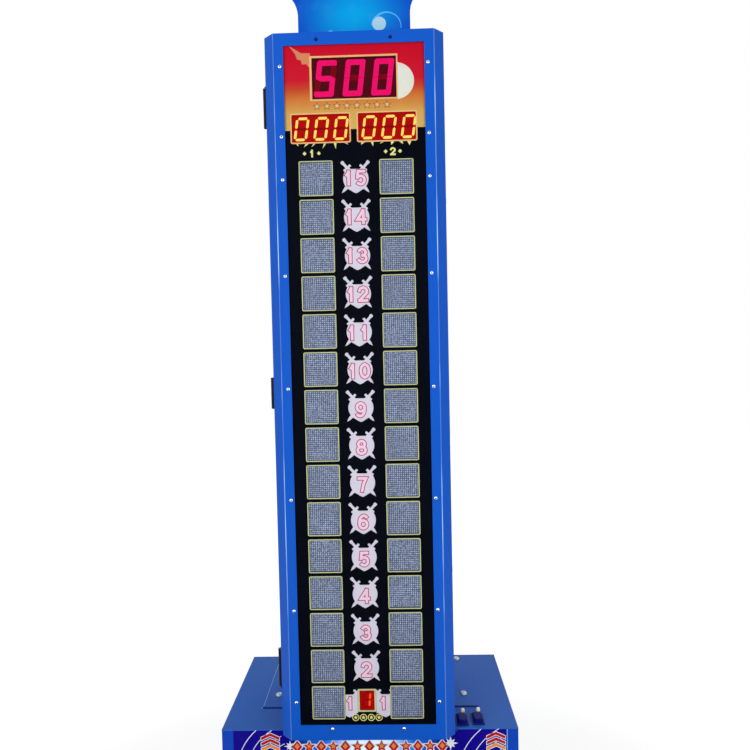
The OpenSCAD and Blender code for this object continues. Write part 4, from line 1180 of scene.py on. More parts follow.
class TESTER_OT_header(bpy.types.Operator):
    """Prints the header's disc, rays, star row, display surrounds, labels and coin marks."""
    bl_idname = "strength_tester.header"
    bl_label = "Header print"

    def execute(self, context):
        self.rims()
        moon = Work()
        moon.print(circle(45, 56, 104, CONSOLE_TOP + 1667), HEADER_INK)
        moon.clip((107.5, 0, 0), (-1, 0, 0))
        moon.done("pale_disc", "moon_ink", "front_door", "print")
        rays = Work()
        ray = [(-160.7, 1760), (-131, 1741.8), (-105.6, 1740.5), (-105.6, 1733), (-111.2, 1706.5),
               (-119, 1715), (-128.7, 1713.9), (-131.5, 1724), (-140.9, 1726.7), (-146, 1741)]
        rays.print(moved(ray, 0, CONSOLE_TOP), HEADER_INK)
        rays.clip((-108.5, 0, 0), (1, 0, 0))
        rays.done("header_ray", "ray_ink", "front_door", "print")
        self.flares()
        self.star_row()
        self.labels()
        self.coin_marks()
        return {"FINISHED"}

    @staticmethod
    def rims():
        """Pale lines round the four displays."""
        work = Work()
        work.border(round_rect(219.4, 109.6, 1.5, x=-1, z=TOP_SCORE_Z + 0.5),
                    round_rect(210.4, 101.4, 1.0, x=0, z=TOP_SCORE_Z), RIM_INK)
        for x in PLAYER_RIMS_X:
            work.border(round_rect(151, 75, 5, x=x, z=PLAYERS_Z),
                        round_rect(144.4, 68.4, 2.5, x=x, z=PLAYERS_Z), RIM_INK)
        work.finish = 1
        work.border(round_rect(47, 60, 2, x=-2, z=COINS_Z),
                    round_rect(38.4, 52, 1.5, x=-2, z=COINS_Z), MARK_INK)
        work.done("display_surrounds", "cream_ink cell_ink", "front_door", "print")

    @staticmethod
    def flares():
        """A fringe of pale points that hangs below the two small displays."""
        draw = random.Random(7)
        work = Work()
        z = PLAYERS_Z - 38
        for x in PLAYER_RIMS_X:
            for i in range(6):
                middle = x + (i - 2.5) * 23 + draw.uniform(-5, 5)
                reach = draw.uniform(4, 15)
                lean = draw.uniform(-9, 9)
                half = draw.uniform(2.2, 5.5)
                work.print([(middle - half, z), (middle + lean, z - reach), (middle + half, z)],
                           HEADER_INK)
        work.done("display_fringe", "label_ink", "front_door", "print")

    @staticmethod
    def star_row():
        edge, fill = Work(), Work()
        for i in range(8):
            x = -94 + i * 25
            edge.print(star(10.8, 4.8, x, STAR_ROW_Z), HEADER_INK)
            fill.print(star(7.8, 3.4, x, STAR_ROW_Z), RIM_INK)
        edge.done("star_row_edges", "brown_ink", "front_door", "print")
        fill.done("star_row", "cream_ink", "front_door", "print")

    @staticmethod
    def labels():
        """The two columns' numbers, each between diamonds."""
        work = Work()
        diamond = [(0, -5), (5, 0), (0, 5), (-5, 0)]
        for text, x in (("1", -110), ("2", 93)):
            numeral(work, text, x, LABELS_Z, 15, 20, 4.4, 0, RIM_INK)
            for side in (-1, 1):
                work.print(moved(diamond, x + side * 18, LABELS_Z), RIM_INK)
        work.done("column_labels", "label_ink", "front_door", "print")

    @staticmethod
    def coin_marks():
        work = Work()
        for i in range(4):
            spot = (-32 + i * 20, COIN_MARKS_Z)
            work.border(circle(9.3, 28, *spot), circle(7.3, 28, *spot), MARK_INK)
            work.print(star(5.8, 2.6, *spot), MARK_INK)
        work.done("coin_marks", "label_ink", "front_door", "print")


class TESTER_OT_displays(bpy.types.Operator):
    """Lights the figures of the four number displays."""
    bl_idname = "strength_tester.displays"
    bl_label = "Number displays"

    def execute(self, context):
        dress("high_score_display", "score_window", 0.5)
        dress("player_one_display player_two_display credit_display", "player_window", 0.5)
        face = edges("high_score_display")[0].y
        big = Work()
        figures(big, f"{show().top_score:03d}", 0, TOP_SCORE_Z + 1, 71.5, 49.5, 90, 13.5, 0.3, 0.125,
                face, square_bar)
        big.done("top_figures", "score_lit score_dim", "cabinet", "led_red")
        face = edges("player_one_display")[0].y
        for name, x, score in (("first", -85, show().first_score),
                               ("second", 84.5, show().second_score)):
            small = Work()
            figures(small, f"{score:03d}", x, PLAYERS_Z - 0.5, 49.3, 33.5, 58, 6.0, 2.0, 0.15, face)
            small.done(name + "_figures", "player_lit player_dim", "cabinet", "led_red")
        face = edges("credit_display")[0].y
        coin = Work()
        figures(coin, str(show().coins), -3, COINS_Z, 0, 22, 42, 5.5, 1.2, 0.09, face)
        coin.done("coin_figure", "credit_lit player_dim", "cabinet", "led_red")
        return {"FINISHED"}


# The door's screws: the rows down its sides, above the console's top, and the pairs at its ends
SCREW_ROWS = (95.5, 335, 622, 905.5, 1190, 1430, 1536, 1708.7)
SIDE_SCREW_X, END_SCREW_X = 184, 92
FOOT_SCREW_Z, HEAD_SCREW_Z = 565.5, 2312.0


def screw_places():
    """Where the door's screws sit: across, up, and whether the screw is black."""
    places = [(side * SIDE_SCREW_X, CONSOLE_TOP + z, False) for z in SCREW_ROWS for side in (-1, 1)]
    places += [(side * END_SCREW_X, FOOT_SCREW_Z, False) for side in (-1, 1)]
    return places + [(side * END_SCREW_X, HEAD_SCREW_Z, True) for side in (-1, 1)]


class TESTER_OT_fasteners(bpy.types.Operator):
    """Turns the door's cross-head screws and the bolts with their sockets."""
    bl_idname = "strength_tester.fasteners"
    bl_label = "Screws and bolts"

    def execute(self, context):
        low, high = edges("panel_screws")
        work = Work()
        draw = random.Random(11)
        for x, z, dark in screw_places():
            work.finish = 2 if dark else 0
            self.screw(work, x, z, low.y, high.y, draw.uniform(0, math.pi))
        work.done("door_screws", "bright_screw hinge_black navy_plastic", "front_door", "screw_steel",
                  "panel_screws")
        self.bolts()
        return {"FINISHED"}

    @staticmethod
    def screw(work, x, z, front, back, turn):
        """A domed screw with a black cross on it as painted shade for its cross recess, and a nut at
        the door's back.
        """
        reach = back - front
        dome = [(0.0, 0.15), (1.4, 0.2), (2.6, 0.45), (3.6, 0.95), (4.25, 1.6), (4.5, 2.5), (2.5, 2.5),
                (2.5, reach - 3), (4.5, reach - 3), (4.5, reach), (0.0, reach)]
        work.lathe(dome, (x, front, z), "y", 20)
        # The cross recess isn't cut: a black cross on the dome is painted shade for it.
        work.finish = 1
        bar = [(-3.0, -0.62), (3.0, -0.62), (3.0, 0.62), (-3.0, 0.62)]
        for arm in (0, math.pi / 2):
            work.print(moved(bar, x, z, turn + arm), front - 0.02, front + 1.0)

    @staticmethod
    def bolts():
        """Round-head bolts with their nuts under the flange and the collar."""
        work = Work()
        flange = edges("tower_flange")[1].z
        spots = [(side * x, y, flange, 18, 6) for side in (-1, 1) for x, y in
                 ((267, 170), (267, 384), (100, 384))]
        low, high = edges("pad_collar")
        for i in range(8):
            ring = polar(0, (low.y + high.y) / 2, 160, math.radians(22.5 + 45 * i))
            spots.append((*ring, high.z, 23, 11))
        for x, y, z, reach, grip in spots:
            head = [(0.0, 3.4), (2.4, 3.4), (2.6, 5.9), (3.4, 6.0), (5.6, 5.8), (7.6, 4.9), (9.0, 3.4),
                    (9.5, 1.8), (9.5, 0.6), (9.1, 0.0), (5.0, 0.0), (5.0, 1 - reach), (4.2, -reach),
                    (0.0, -reach)]
            work.lathe(head, (x, y, z), "z", 24)
            nut = z - grip
            work.skin([[(x + u, y + v, h) for u, v in circle(r, 6)] for r, h in
                       ((7.8, nut), (8.5, nut - 0.7), (8.5, nut - 7.3), (7.8, nut - 8))])
        work.done("socket_bolts", "bolt_head", "cabinet", "zinc_steel", "frame_bolts")


class TESTER_OT_hinge_details(bpy.types.Operator):
    """Adds the pin caps of the door hinges and the faces of the latches."""
    bl_idname = "strength_tester.hinge_details"
    bl_label = "Hinge and latch details"

    def execute(self, context):
        caps = Work()
        for z, tall in HINGES:
            for way in (-1, 1):
                caps.finish = 0 if way > 0 else 1
                caps.lathe([(0, 1.5), (1.2, 1.3), (2.0, 0.7), (2.4, 0.0), (2.4, -1.0), (0, -1.0)],
                           (edges("hinge_leaves")[0].x + 4.2, -3.5, CONSOLE_TOP + z + way * tall / 2),
                           "z", 20, way)
        caps.done("hinge_pin_caps", "bright_screw hinge_black", "cabinet", "frame_black")
        high = edges("door_latch_upper")[1]
        for name, z in LATCHES:
            face = Work()
            face.lathe([(7.2, 0.6), (7.2, -0.2), (4.6, -0.2), (4.6, 0.6), (7.2, 0.6)],
                       (high.x, 20, CONSOLE_TOP + z), "x", 24)
            face.finish = 1
            face.skin([[(high.x + d, 20 + u, CONSOLE_TOP + z + v) for u, v in circle(3.6, 3)]
                       for d in (-0.2, 0.35)])
            face.done(name + "_latch_face", "zinc hinge_black", name + "_latch", "zinc_steel")
        return {"FINISHED"}


# Each start button's name and middle, and how far its lamp stands from there
BUTTONS = (("one", 248, 36), ("two", 290.5, 40))
LAMP_SHIFT = (7, 43)
LAMP_RADIUS = 5.5


class TESTER_OT_buttons(bpy.types.Operator):
    """Moulds the two start buttons and the small lamps behind them."""
    bl_idname = "strength_tester.buttons"
    bl_label = "Start buttons and lamps"

    def execute(self, context):
        for name, x, y in BUTTONS:
            low, high = edges("start_button_" + name)
            half_x, half_y = (high.x - low.x) / 2, (high.y - low.y) / 2
            work = Work()
            rings = []
            for inset, z, radius in ((0.0, low.z, 7), (0.0, high.z - 6.0, 7), (0.5, high.z - 3.4, 7.5),
                                     (2.0, high.z - 1.4, 8), (4.6, high.z - 0.4, 8.5),
                                     (8.0, high.z, 5)):
                outline = round_rect(2 * (half_x - inset), 2 * (half_y - inset), radius, 5)
                rings.append([(x + a, y + b, z) for a, b in outline])
            work.skin(rings)
            work.done("start_cap_" + name, "button_blue", "start_" + name, "button_blue",
                      "start_button_" + name, soft=50)
        work = Work()
        low, high = edges("ready_lamps")
        radius = LAMP_RADIUS
        tall = high.z - CONSOLE_TOP
        for _, x, y in BUTTONS:
            place = (x + LAMP_SHIFT[0], y + LAMP_SHIFT[1], CONSOLE_TOP)
            dome = [(0.0, tall), (radius * 0.45, tall - 0.3), (radius * 0.75, tall - 1.3),
                    (radius * 0.93, tall - 3.0), (radius, tall - 5.0), (radius, 1.4), (0.0, 1.4)]
            work.finish = 0
            work.lathe(dome, place, "z", 24)
            work.finish = 1
            work.lathe([(0, 2.2), (radius - 1, 2.2), (radius, 1.6), (radius, 0.2), (radius - 0.4, 0),
                        (3, 0), (3, low.z - CONSOLE_TOP), (0, low.z - CONSOLE_TOP)], place, "z", 24)
        work.done("ready_lamp_tips", "lamp_tip zinc", "cabinet", "pale_lamp", "ready_lamps")
        return {"FINISHED"}


# Inner radius, outer radius and finish of each ring of the pad
PAD_CROWNS = ((0, 30, 0), (34, 70, 1), (74, 110, 2), (114, 131, 1))


class TESTER_OT_striker(bpy.types.Operator):
    """Moulds the ringed strike pad and winds its four springs."""
    bl_idname = "strength_tester.striker"
    bl_label = "Strike pad and springs"

    def execute(self, context):
        low, high = edges("strike_pad")
        middle = (0, (low.y + high.y) / 2, high.z)
        profile = []
        for inner, outer, _ in PAD_CROWNS:
            profile += [(inner, -1.2 if inner else 0), (inner + 1.2, 0), (outer - 1.2, 0),
                        (outer, -1.2), (outer + 0.8, -3.2), (outer + 3.2, -3.2)]
        tall = low.z - high.z
        profile += [(135.5, -3.4), (138.6, -7.5), (140, -13), (140, tall + 3), (137, tall), (0, tall)]
        work = Work()
        work.lathe(profile, middle, "z", 96)
        for face in work.mesh.faces:
            spot = face.calc_center_median() - Vector(middle)
            reach = spot.xy.length
            groove = spot.z < -2 and reach < 131
            band = [finish for inner, _, finish in PAD_CROWNS if inner - 2 <= reach][-1]
            face.material_index = 3 if groove else band
        work.done("target_pad", "pad_ring pad_rubber dark_rubber hinge_black", "striker",
                  "red_rubber", "strike_pad", soft=40)
        self.springs()
        return {"FINISHED"}

    @staticmethod
    def springs():
        """Four springs with flat end turns, which the pad's press squashes."""
        low, high = edges("pad_springs")
        tall = high.z - low.z
        wire = 3.2
        turns = 6.5
        for i in range(4):
            x, y = polar(0, (low.y + high.y) / 2, 60, math.pi / 2 * i)
            path = []
            for k in range(int(turns * 20) + 1):
                t = k / (turns * 20)
                lie = min(1.0, max(0.0, (t * turns - 0.8) / (turns - 1.6)))
                path.append((*polar(x, y, 16.6, 2 * math.pi * turns * t),
                             low.z + wire + (tall - 2 * wire) * lie))
            work = Work()
            work.tube(path, wire, 8)
            spring = work.done(f"pad_spring_{i + 1}", "spring_wire", "cabinet", "spring_steel",
                               "pad_springs", soft=60)
            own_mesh(spring)


class TESTER_OT_mallet(bpy.types.Operator):
    """Turns the mallet: banded rubber head, ash handle and ribbed grip."""
    bl_idname = "strength_tester.mallet"
    bl_label = "Mallet"

    def execute(self, context):
        low, high = edges("mallet_head")
        middle = (low + high) / 2
        half = (high.z - low.z) / 2
        side = [(0, half - 2.5), (44, half - 2.5), (50, half - 0.6), (56, half), (60.5, half - 1.2),
                (63.6, half - 4.2), (65, half - 9), (65, 68), (63.2, 66), (63.2, 46), (65, 44)]
        head = Work()
        head.lathe(side + [(r, -d) for r, d in reversed(side)], middle, "z", 64)
        head.finish = 1
        for way in (-1, 1):
            head.lathe([(62.5, 46.4), (64.3, 46.8), (64.6, 48), (64.6, 64), (64.3, 65.2), (62.5, 65.6),
                        (62.5, 46.4)], middle, "z", 64, way)
        head.finish = 2
        for way in (-1, 1):
            head.lathe([(17, 61), (23, 61), (26, 64), (26, 66.3), (24, 67.2), (17, 67.2), (17, 61)],
                       middle, "x", 40, way)
        head.done("banded_head", "dark_rubber pad_ring zinc", "mallet", "black_rubber",
                  "mallet_head")
        low, high = edges("mallet_handle")
        y, z = (low.y + high.y) / 2, (low.z + high.z) / 2
        handle = Work()
        handle.lathe([(0, low.x), (11, low.x + 0.6), (14.6, low.x + 2.4), (16, low.x + 6),
                      (16, -190), (15.2, -150), (14.6, -20), (15.0, 120), (16, 176),
                      (16, high.x - 2), (13, high.x), (0, high.x)], (0, y, z), "x", 40)
        handle.done("turned_handle", "ash", "mallet", "ash_wood", "mallet_handle")
        low, high = edges("mallet_grip")
        grip = [(16.2, low.x), (18.2, low.x), (19, low.x + 1.5), (19, low.x + 7), (18, low.x + 8.5)]
        at = low.x + 10
        while at < high.x - 14:
            grip += [(17.2, at), (18.4, at + 1.6), (18.7, at + 3), (18.4, at + 4.4), (17.2, at + 6)]
            at += 7.2
        grip += [(17.6, high.x - 8), (19, high.x - 6), (19, high.x - 1.5), (18, high.x),
                 (16.2, high.x), (16.2, low.x)]
        sleeve = Work()
        sleeve.lathe(grip, (0, y, z), "x", 40)
        sleeve.done("ribbed_grip", "dark_rubber", "mallet", "grip_leather", "mallet_grip")
        return {"FINISHED"}


class TESTER_OT_wheels_and_feet(bpy.types.Operator):
    """Turns the transport wheels and the levelling feet."""
    bl_idname = "strength_tester.wheels_and_feet"
    bl_label = "Wheels and feet"

    def execute(self, context):
        for name in ("left", "right"):
            low, high = edges("wheel_" + name)
            middle = (low + high) / 2
            tyre, hub = Work(), 11.8
            tyre.lathe([(16, -hub), (19.6, -hub), (22, -10), (23, -7.4), (23, -3.6), (22, -2.8),
                        (22, -1.4), (23, -0.6), (23, 0.6), (22, 1.4), (22, 2.8), (23, 3.6), (23, 7.4),
                        (22, 10), (19.6, hub), (16, hub), (16, -hub)], middle, "x", 48)
            tyre.finish = 1
            tyre.lathe([(4.4, -12), (7.6, -12), (8.2, -11), (8.6, -8.6), (14, -8.6), (15.2, -11),
                        (16.2, -11.2), (16.2, 11.2), (15.2, 11), (14, 8.6), (8.6, 8.6), (8.2, 11),
                        (7.6, 12), (4.4, 12), (4.4, -12)], middle, "x", 48)
            tyre.done("rolling_wheel_" + name, "dark_rubber grey_plastic", name + "_wheel",
                      "wheel_rubber", "wheel_" + name)
        low, high = edges("levelling_feet")
        feet = Work()
        for x in (low.x + 24, high.x - 24):
            for y in (low.y + 24, high.y - 24):
                feet.finish = 0
                feet.lathe([(0, 0), (22.6, 0), (24, 1.2), (24, 3.6), (22.8, 4.6), (0, 4.6)],
                           (x, y, 0), "z", 40)
                feet.finish = 1
                feet.lathe([(0, 4.6), (22.4, 4.6), (22.4, 5.6), (18, 8.2), (9.5, 9.4), (8, 10),
                            (0, 10)], (x, y, 0), "z", 40)
                stud = [(0, 10), (6, 10)]
                for k in range(20):
                    stud += [(6.2, 10.4 + 2 * k), (7, 11.2 + 2 * k), (6.2, 12 + 2 * k)]
                feet.lathe(stud + [(6, 51), (0, 51)], (x, y, 0), "z", 20)
                feet.skin([[(x + a, y + b, z) for a, b in circle(r, 6)] for r, z in
                           ((10.9, 51), (12, 51.8), (12, 59.2), (10.9, 60))])
        feet.done("screw_feet", "dark_rubber zinc", "cabinet", "zinc_steel", "levelling_feet")
        return {"FINISHED"}


# Rims of a coin entry: finish, place above its middle, then width, height and corner radius outside
# and inside, and how far the rim stands out
COIN_RIMS = ((0, 0, (42, 104, 3), (37, 99, 2), 0.8),
             (0, 31, (12, 34.8, 5), (4.6, 30.4, 0.6), 1.6),
             (0, -32, (34, 32, 2.5), (30, 28, 1.5), 1.2),
             (1, 0, (26, 26, 4), (20.8, 20.8, 2.5), 1.4))


class TESTER_OT_coin_door(bpy.types.Operator):
    """Details the coin entries, reject buttons, cam locks and hinge pins of the two small doors."""
    bl_idname = "strength_tester.coin_door"
    bl_label = "Coin door and locks"

    def execute(self, context):
        low, high = edges("coin_mech")
        plates = Work()
        for x in (-55, 55):
            for finish, up, outer, inner, proud in COIN_RIMS:
                place = {"x": x, "z": (low.z + high.z) / 2 + up}
                plates.finish = finish
                plates.border(round_rect(*outer, **place), round_rect(*inner, **place),
                              low.y - proud, low.y + 0.2)
        plates.done("coin_bezels", "zinc black_plastic", "coin_door", "zinc_steel")
        for name in ("left", "right"):
            low, high = edges("reject_button_" + name)
            x, z = (low.x + high.x) / 2, (low.z + high.z) / 2
            cap = Work()
            cap.skin([[(x + a, y, z + b) for a, b in round_rect(20 - 2 * inset, 20 - 2 * inset,
                                                                  2.6 - 0.2 * inset)]
                      for y, inset in ((high.y, 0), (low.y + 1.8, 0), (low.y + 0.6, 0.5),
                                       (low.y, 1.8), (low.y + 0.5, 5.5))])
            cap.done("reject_cap_" + name, "red_plastic", name + "_reject", "red_plastic",
                     "reject_button_" + name, soft=40)
        self.lock("coin_lock", "coin_cam_lock", -1)
        self.lock("rear_lock", "service_lock", 1)
        pins = Work()
        for z, way in ((110, -1), (456, 1)):
            pins.lathe([(0, 1.6), (1.4, 1.4), (2.4, 0.7), (2.8, 0), (2.8, -0.6), (0, -0.6)],
                       (-231, 424, z), "z", 16, way)
        pins.done("small_hinge_caps", "zinc", "cabinet", "zinc_steel")
        return {"FINISHED"}

    @staticmethod
    def lock(node, body, out):
        """The raised rim of a cam lock that faces out along Y, and a black slot on its face as painted
        shade for the keyway.
        """
        dress(node, "zinc", 0.3)
        low, high = edges(node)
        x = (low.x + high.x) / 2
        z = high.z - 10
        face = low.y if out < 0 else high.y
        work = Work()
        work.lathe([(9.6, 0.2), (9.0, -0.4), (7.4, -0.4), (7.0, 0.2), (9.6, 0.2)], (x, face, z), "y",
                   32, -out)
        # The keyway isn't cut: a black slot stands on the face as painted shade.
        work.finish = 1
        outline = moved([(-0.9, -3.6), (0.9, -3.6), (0.9, 3.6), (-0.9, 3.6)], x, z)
        work.print(outline, face + out * 0.12, face - out * 0.3)
        work.done(node + "_face", "zinc hinge_black", body, "zinc_steel")


class TESTER_OT_speakers(bpy.types.Operator):
    """Forms the loudspeaker cones and the screws of their grilles."""
    bl_idname = "strength_tester.speakers"
    bl_label = "Loudspeakers"

    def execute(self, context):
        low, high = edges("speakers")
        for name, x in SPEAKERS:
            work = Work()
            middle = (x, 0, (low.z + high.z) / 2)
            work.lathe([(48, low.y), (60, low.y), (60, low.y + 4), (50, low.y + 4.2),
                        (27.5, low.y + 38), (30, low.y + 38), (30, high.y), (0, high.y),
                        (0, low.y + 36), (20, low.y + 34), (44, low.y + 3)], middle, "y", 48)
            work.finish = 1
            work.lathe([(48, low.y + 0.2), (46, low.y), (43.5, low.y + 0.8), (41.5, low.y + 2.4),
                        (40, low.y + 3.6), (15, low.y + 26), (13, low.y + 24), (9, low.y + 20),
                        (0, low.y + 18), (0, low.y + 30), (44, low.y + 5)], middle, "y", 48)
            work.done("cone_" + name, "black_plastic cone_paper", "cabinet", "black_plastic",
                      "speakers")
        front = edges("speaker_grilles")[0].y
        screws = Work()
        for _, x in SPEAKERS:
            for i in range(4):
                across, up = polar(x, SPEAKER_Z, 58, math.pi / 4 + math.pi / 2 * i)
                screws.lathe([(0, -1.0), (1.6, -0.9), (2.8, -0.3), (3.0, 0.2), (0, 0.2)],
                             (across, front, up), "y", 16)
        screws.done("grille_screws", "hinge_black", "cabinet", "coin_steel")
        return {"FINISHED"}


# The console front's face and the Y levels of the inks on it
CONSOLE_Y = 0.0
WHITE_Y, CRIMSON_Y, GOLD_Y = -0.20, -0.32, -0.44
# Middle, radius and width of the thin curves that run up from the speakers, and where they may lie
ARCS = ((-196, 418, 158, 2.0), (-188, 418, 138, 1.8), (-188, 418, 112.5, 1.6), (-188, 418, 90, 1.6),
        (402, 404, 170, 2.0), (425, 389, 170, 1.8), (425, 389, 145.5, 1.6), (425, 389, 121, 1.6))
ARC_REACH, ARC_FOOT, ARC_HEAD = 361, 474, CONSOLE_TOP - 2.6


class TESTER_OT_console_art(bpy.types.Operator):
    """Prints the console front: arcs, bars, star bursts and the row of diamonds and stars."""
    bl_idname = "strength_tester.console_art"
    bl_label = "Console front print"

    def execute(self, context):
        white, crimson, gold = Work(), Work(), Work()
        for i in range(13):
            x, z = -192 + 32 * i, CONSOLE_TOP - 47.5
            shape = star(17, 7.6) if i % 2 else [(0, -16.8), (13.5, 0), (0, 16.8), (-13.5, 0)]
            white.print(moved(grown(shape, 2.4), x, z), WHITE_Y, CONSOLE_Y)
            crimson.print(moved(shape, x, z), CRIMSON_Y, CONSOLE_Y)
            gold.print(moved(shape, x, z + 1.2, 0, 0.5), GOLD_Y, CONSOLE_Y)
        for x, z, size in ((-211, CONSOLE_TOP - 46, 16), (214, CONSOLE_TOP - 40, 20)):
            reaches = [size * (0.42 if k % 2 else (1, 0.8)[k // 2 % 2]) for k in range(16)]
            white.print([polar(x, z, reach, math.pi * k / 8) for k, reach in enumerate(reaches)],
                        WHITE_Y, CONSOLE_Y)
        for curve in ARCS:
            self.arc(white, *curve)
        bar = [(-24, -9), (0, 2), (24, -9), (24, -1), (0, 10), (-24, -1)]
        for x in (-263.5, 333.5):
            for k in range(3):
                z = CONSOLE_TOP - 20 - 15 * k
                white.print(moved(grown(bar, 1.6), x, z), WHITE_Y, CONSOLE_Y)
                (crimson if k < 2 else gold).print(moved(bar, x, z), CRIMSON_Y, CONSOLE_Y)
        for _, x in SPEAKERS:
            white.border(circle(72, 64, x, SPEAKER_Z), circle(69, 64, x, SPEAKER_Z), WHITE_Y,
                         CONSOLE_Y)
        white.done("console_print_white", "white_ink", "cabinet", "body_blue")
        crimson.done("console_print_crimson", "crimson_ink", "cabinet", "body_blue")
        gold.done("console_print_gold", "gold_ink", "cabinet", "body_blue")
        return {"FINISHED"}

    @staticmethod
    def arc(work, x, z, radius, width):
        """The part of a thin circle that lies on the sheet, above the speakers."""
        run = []
        for k in range(121):
            a = math.radians(114 + k * 0.75)
            across, up = polar(x, z, radius, a)
            if abs(across) < ARC_REACH and ARC_FOOT < up < ARC_HEAD:
                run.append(a)
        if len(run) > 2:
            work.ribbon([polar(x, z, radius + width, a) for a in run],
                        [polar(x, z, radius, a) for a in run], WHITE_Y, CONSOLE_Y)


class TESTER_OT_topper(bpy.types.Operator):
    """Lights the topper's sheet, prints its discs, curls and stars and fits the tubes behind."""
    bl_idname = "strength_tester.topper"
    bl_label = "Topper"

    def execute(self, context):
        dress("topper_face", "topper_sheet", 0.8)
        face = edges("topper_face")[0].y
        top = TOWER_TOP
        front = face - 0.25
        work = Work()
        work.print(circle(17.6, 40, 64.8, top + 50.4), face - 0.35, face)
        work.finish = 1
        work.print([(-70, top + 31), (-66, top + 37), (-60, top + 38.5), (-54, top + 35),
                    (-50, top + 31)], front, face)
        sides = ([], [])
        for k in range(41):
            a = -0.1 + 3.12 * k / 40
            half = 1.1 + 2.6 * (k / 40) ** 2
            for side, way in zip(sides, (1, -1)):
                side.append(polar(84, top + 42, 37 + way * half, a))
        work.ribbon(*sides, front, face)
        for x, z, out in ((0, 198, 52), (-118, 178, 15), (118, 178, 15), (-72, 238, 12),
                          (72, 238, 12), (-62, 136, 11), (62, 136, 11), (0, 276, 9)):
            work.print(star(out, out * 0.42, x, top + z), front, face)
        work.border(circle(68, 72, 0, top + 198), circle(65, 72, 0, top + 198), front, face)
        work.done("topper_motifs", "pale_glow sky_glow", "cabinet", "topper_blue")
        self.tubes()
        return {"FINISHED"}

    @staticmethod
    def tubes():
        """Two fluorescent tubes in their end sockets."""
        low, high = edges("topper_lamps")
        work = Work()
        for z in (low.z + 13, high.z - 13):
            y = low.y + 13
            work.finish = 0
            work.lathe([(0, -98), (12.4, -98), (13, -96), (13, 96), (12.4, 98), (0, 98)], (0, y, z),
                       "x", 28)
            work.finish = 1
            for way in (-1, 1):
                work.lathe([(0, 97), (13, 97), (13, 108), (11, 110), (0, 110)], (0, y, z), "x", 28, way)
                a, b = sorted((way * 100, way * 110))
                work.box((a, b), (y + 8, high.y), (z - 9, z + 9))
        work.done("topper_tubes", "tube_glass zinc", "cabinet", "tube_white", "topper_lamps")


ROCKER_TILT = 8
ROCKER_PIN_Y = 418


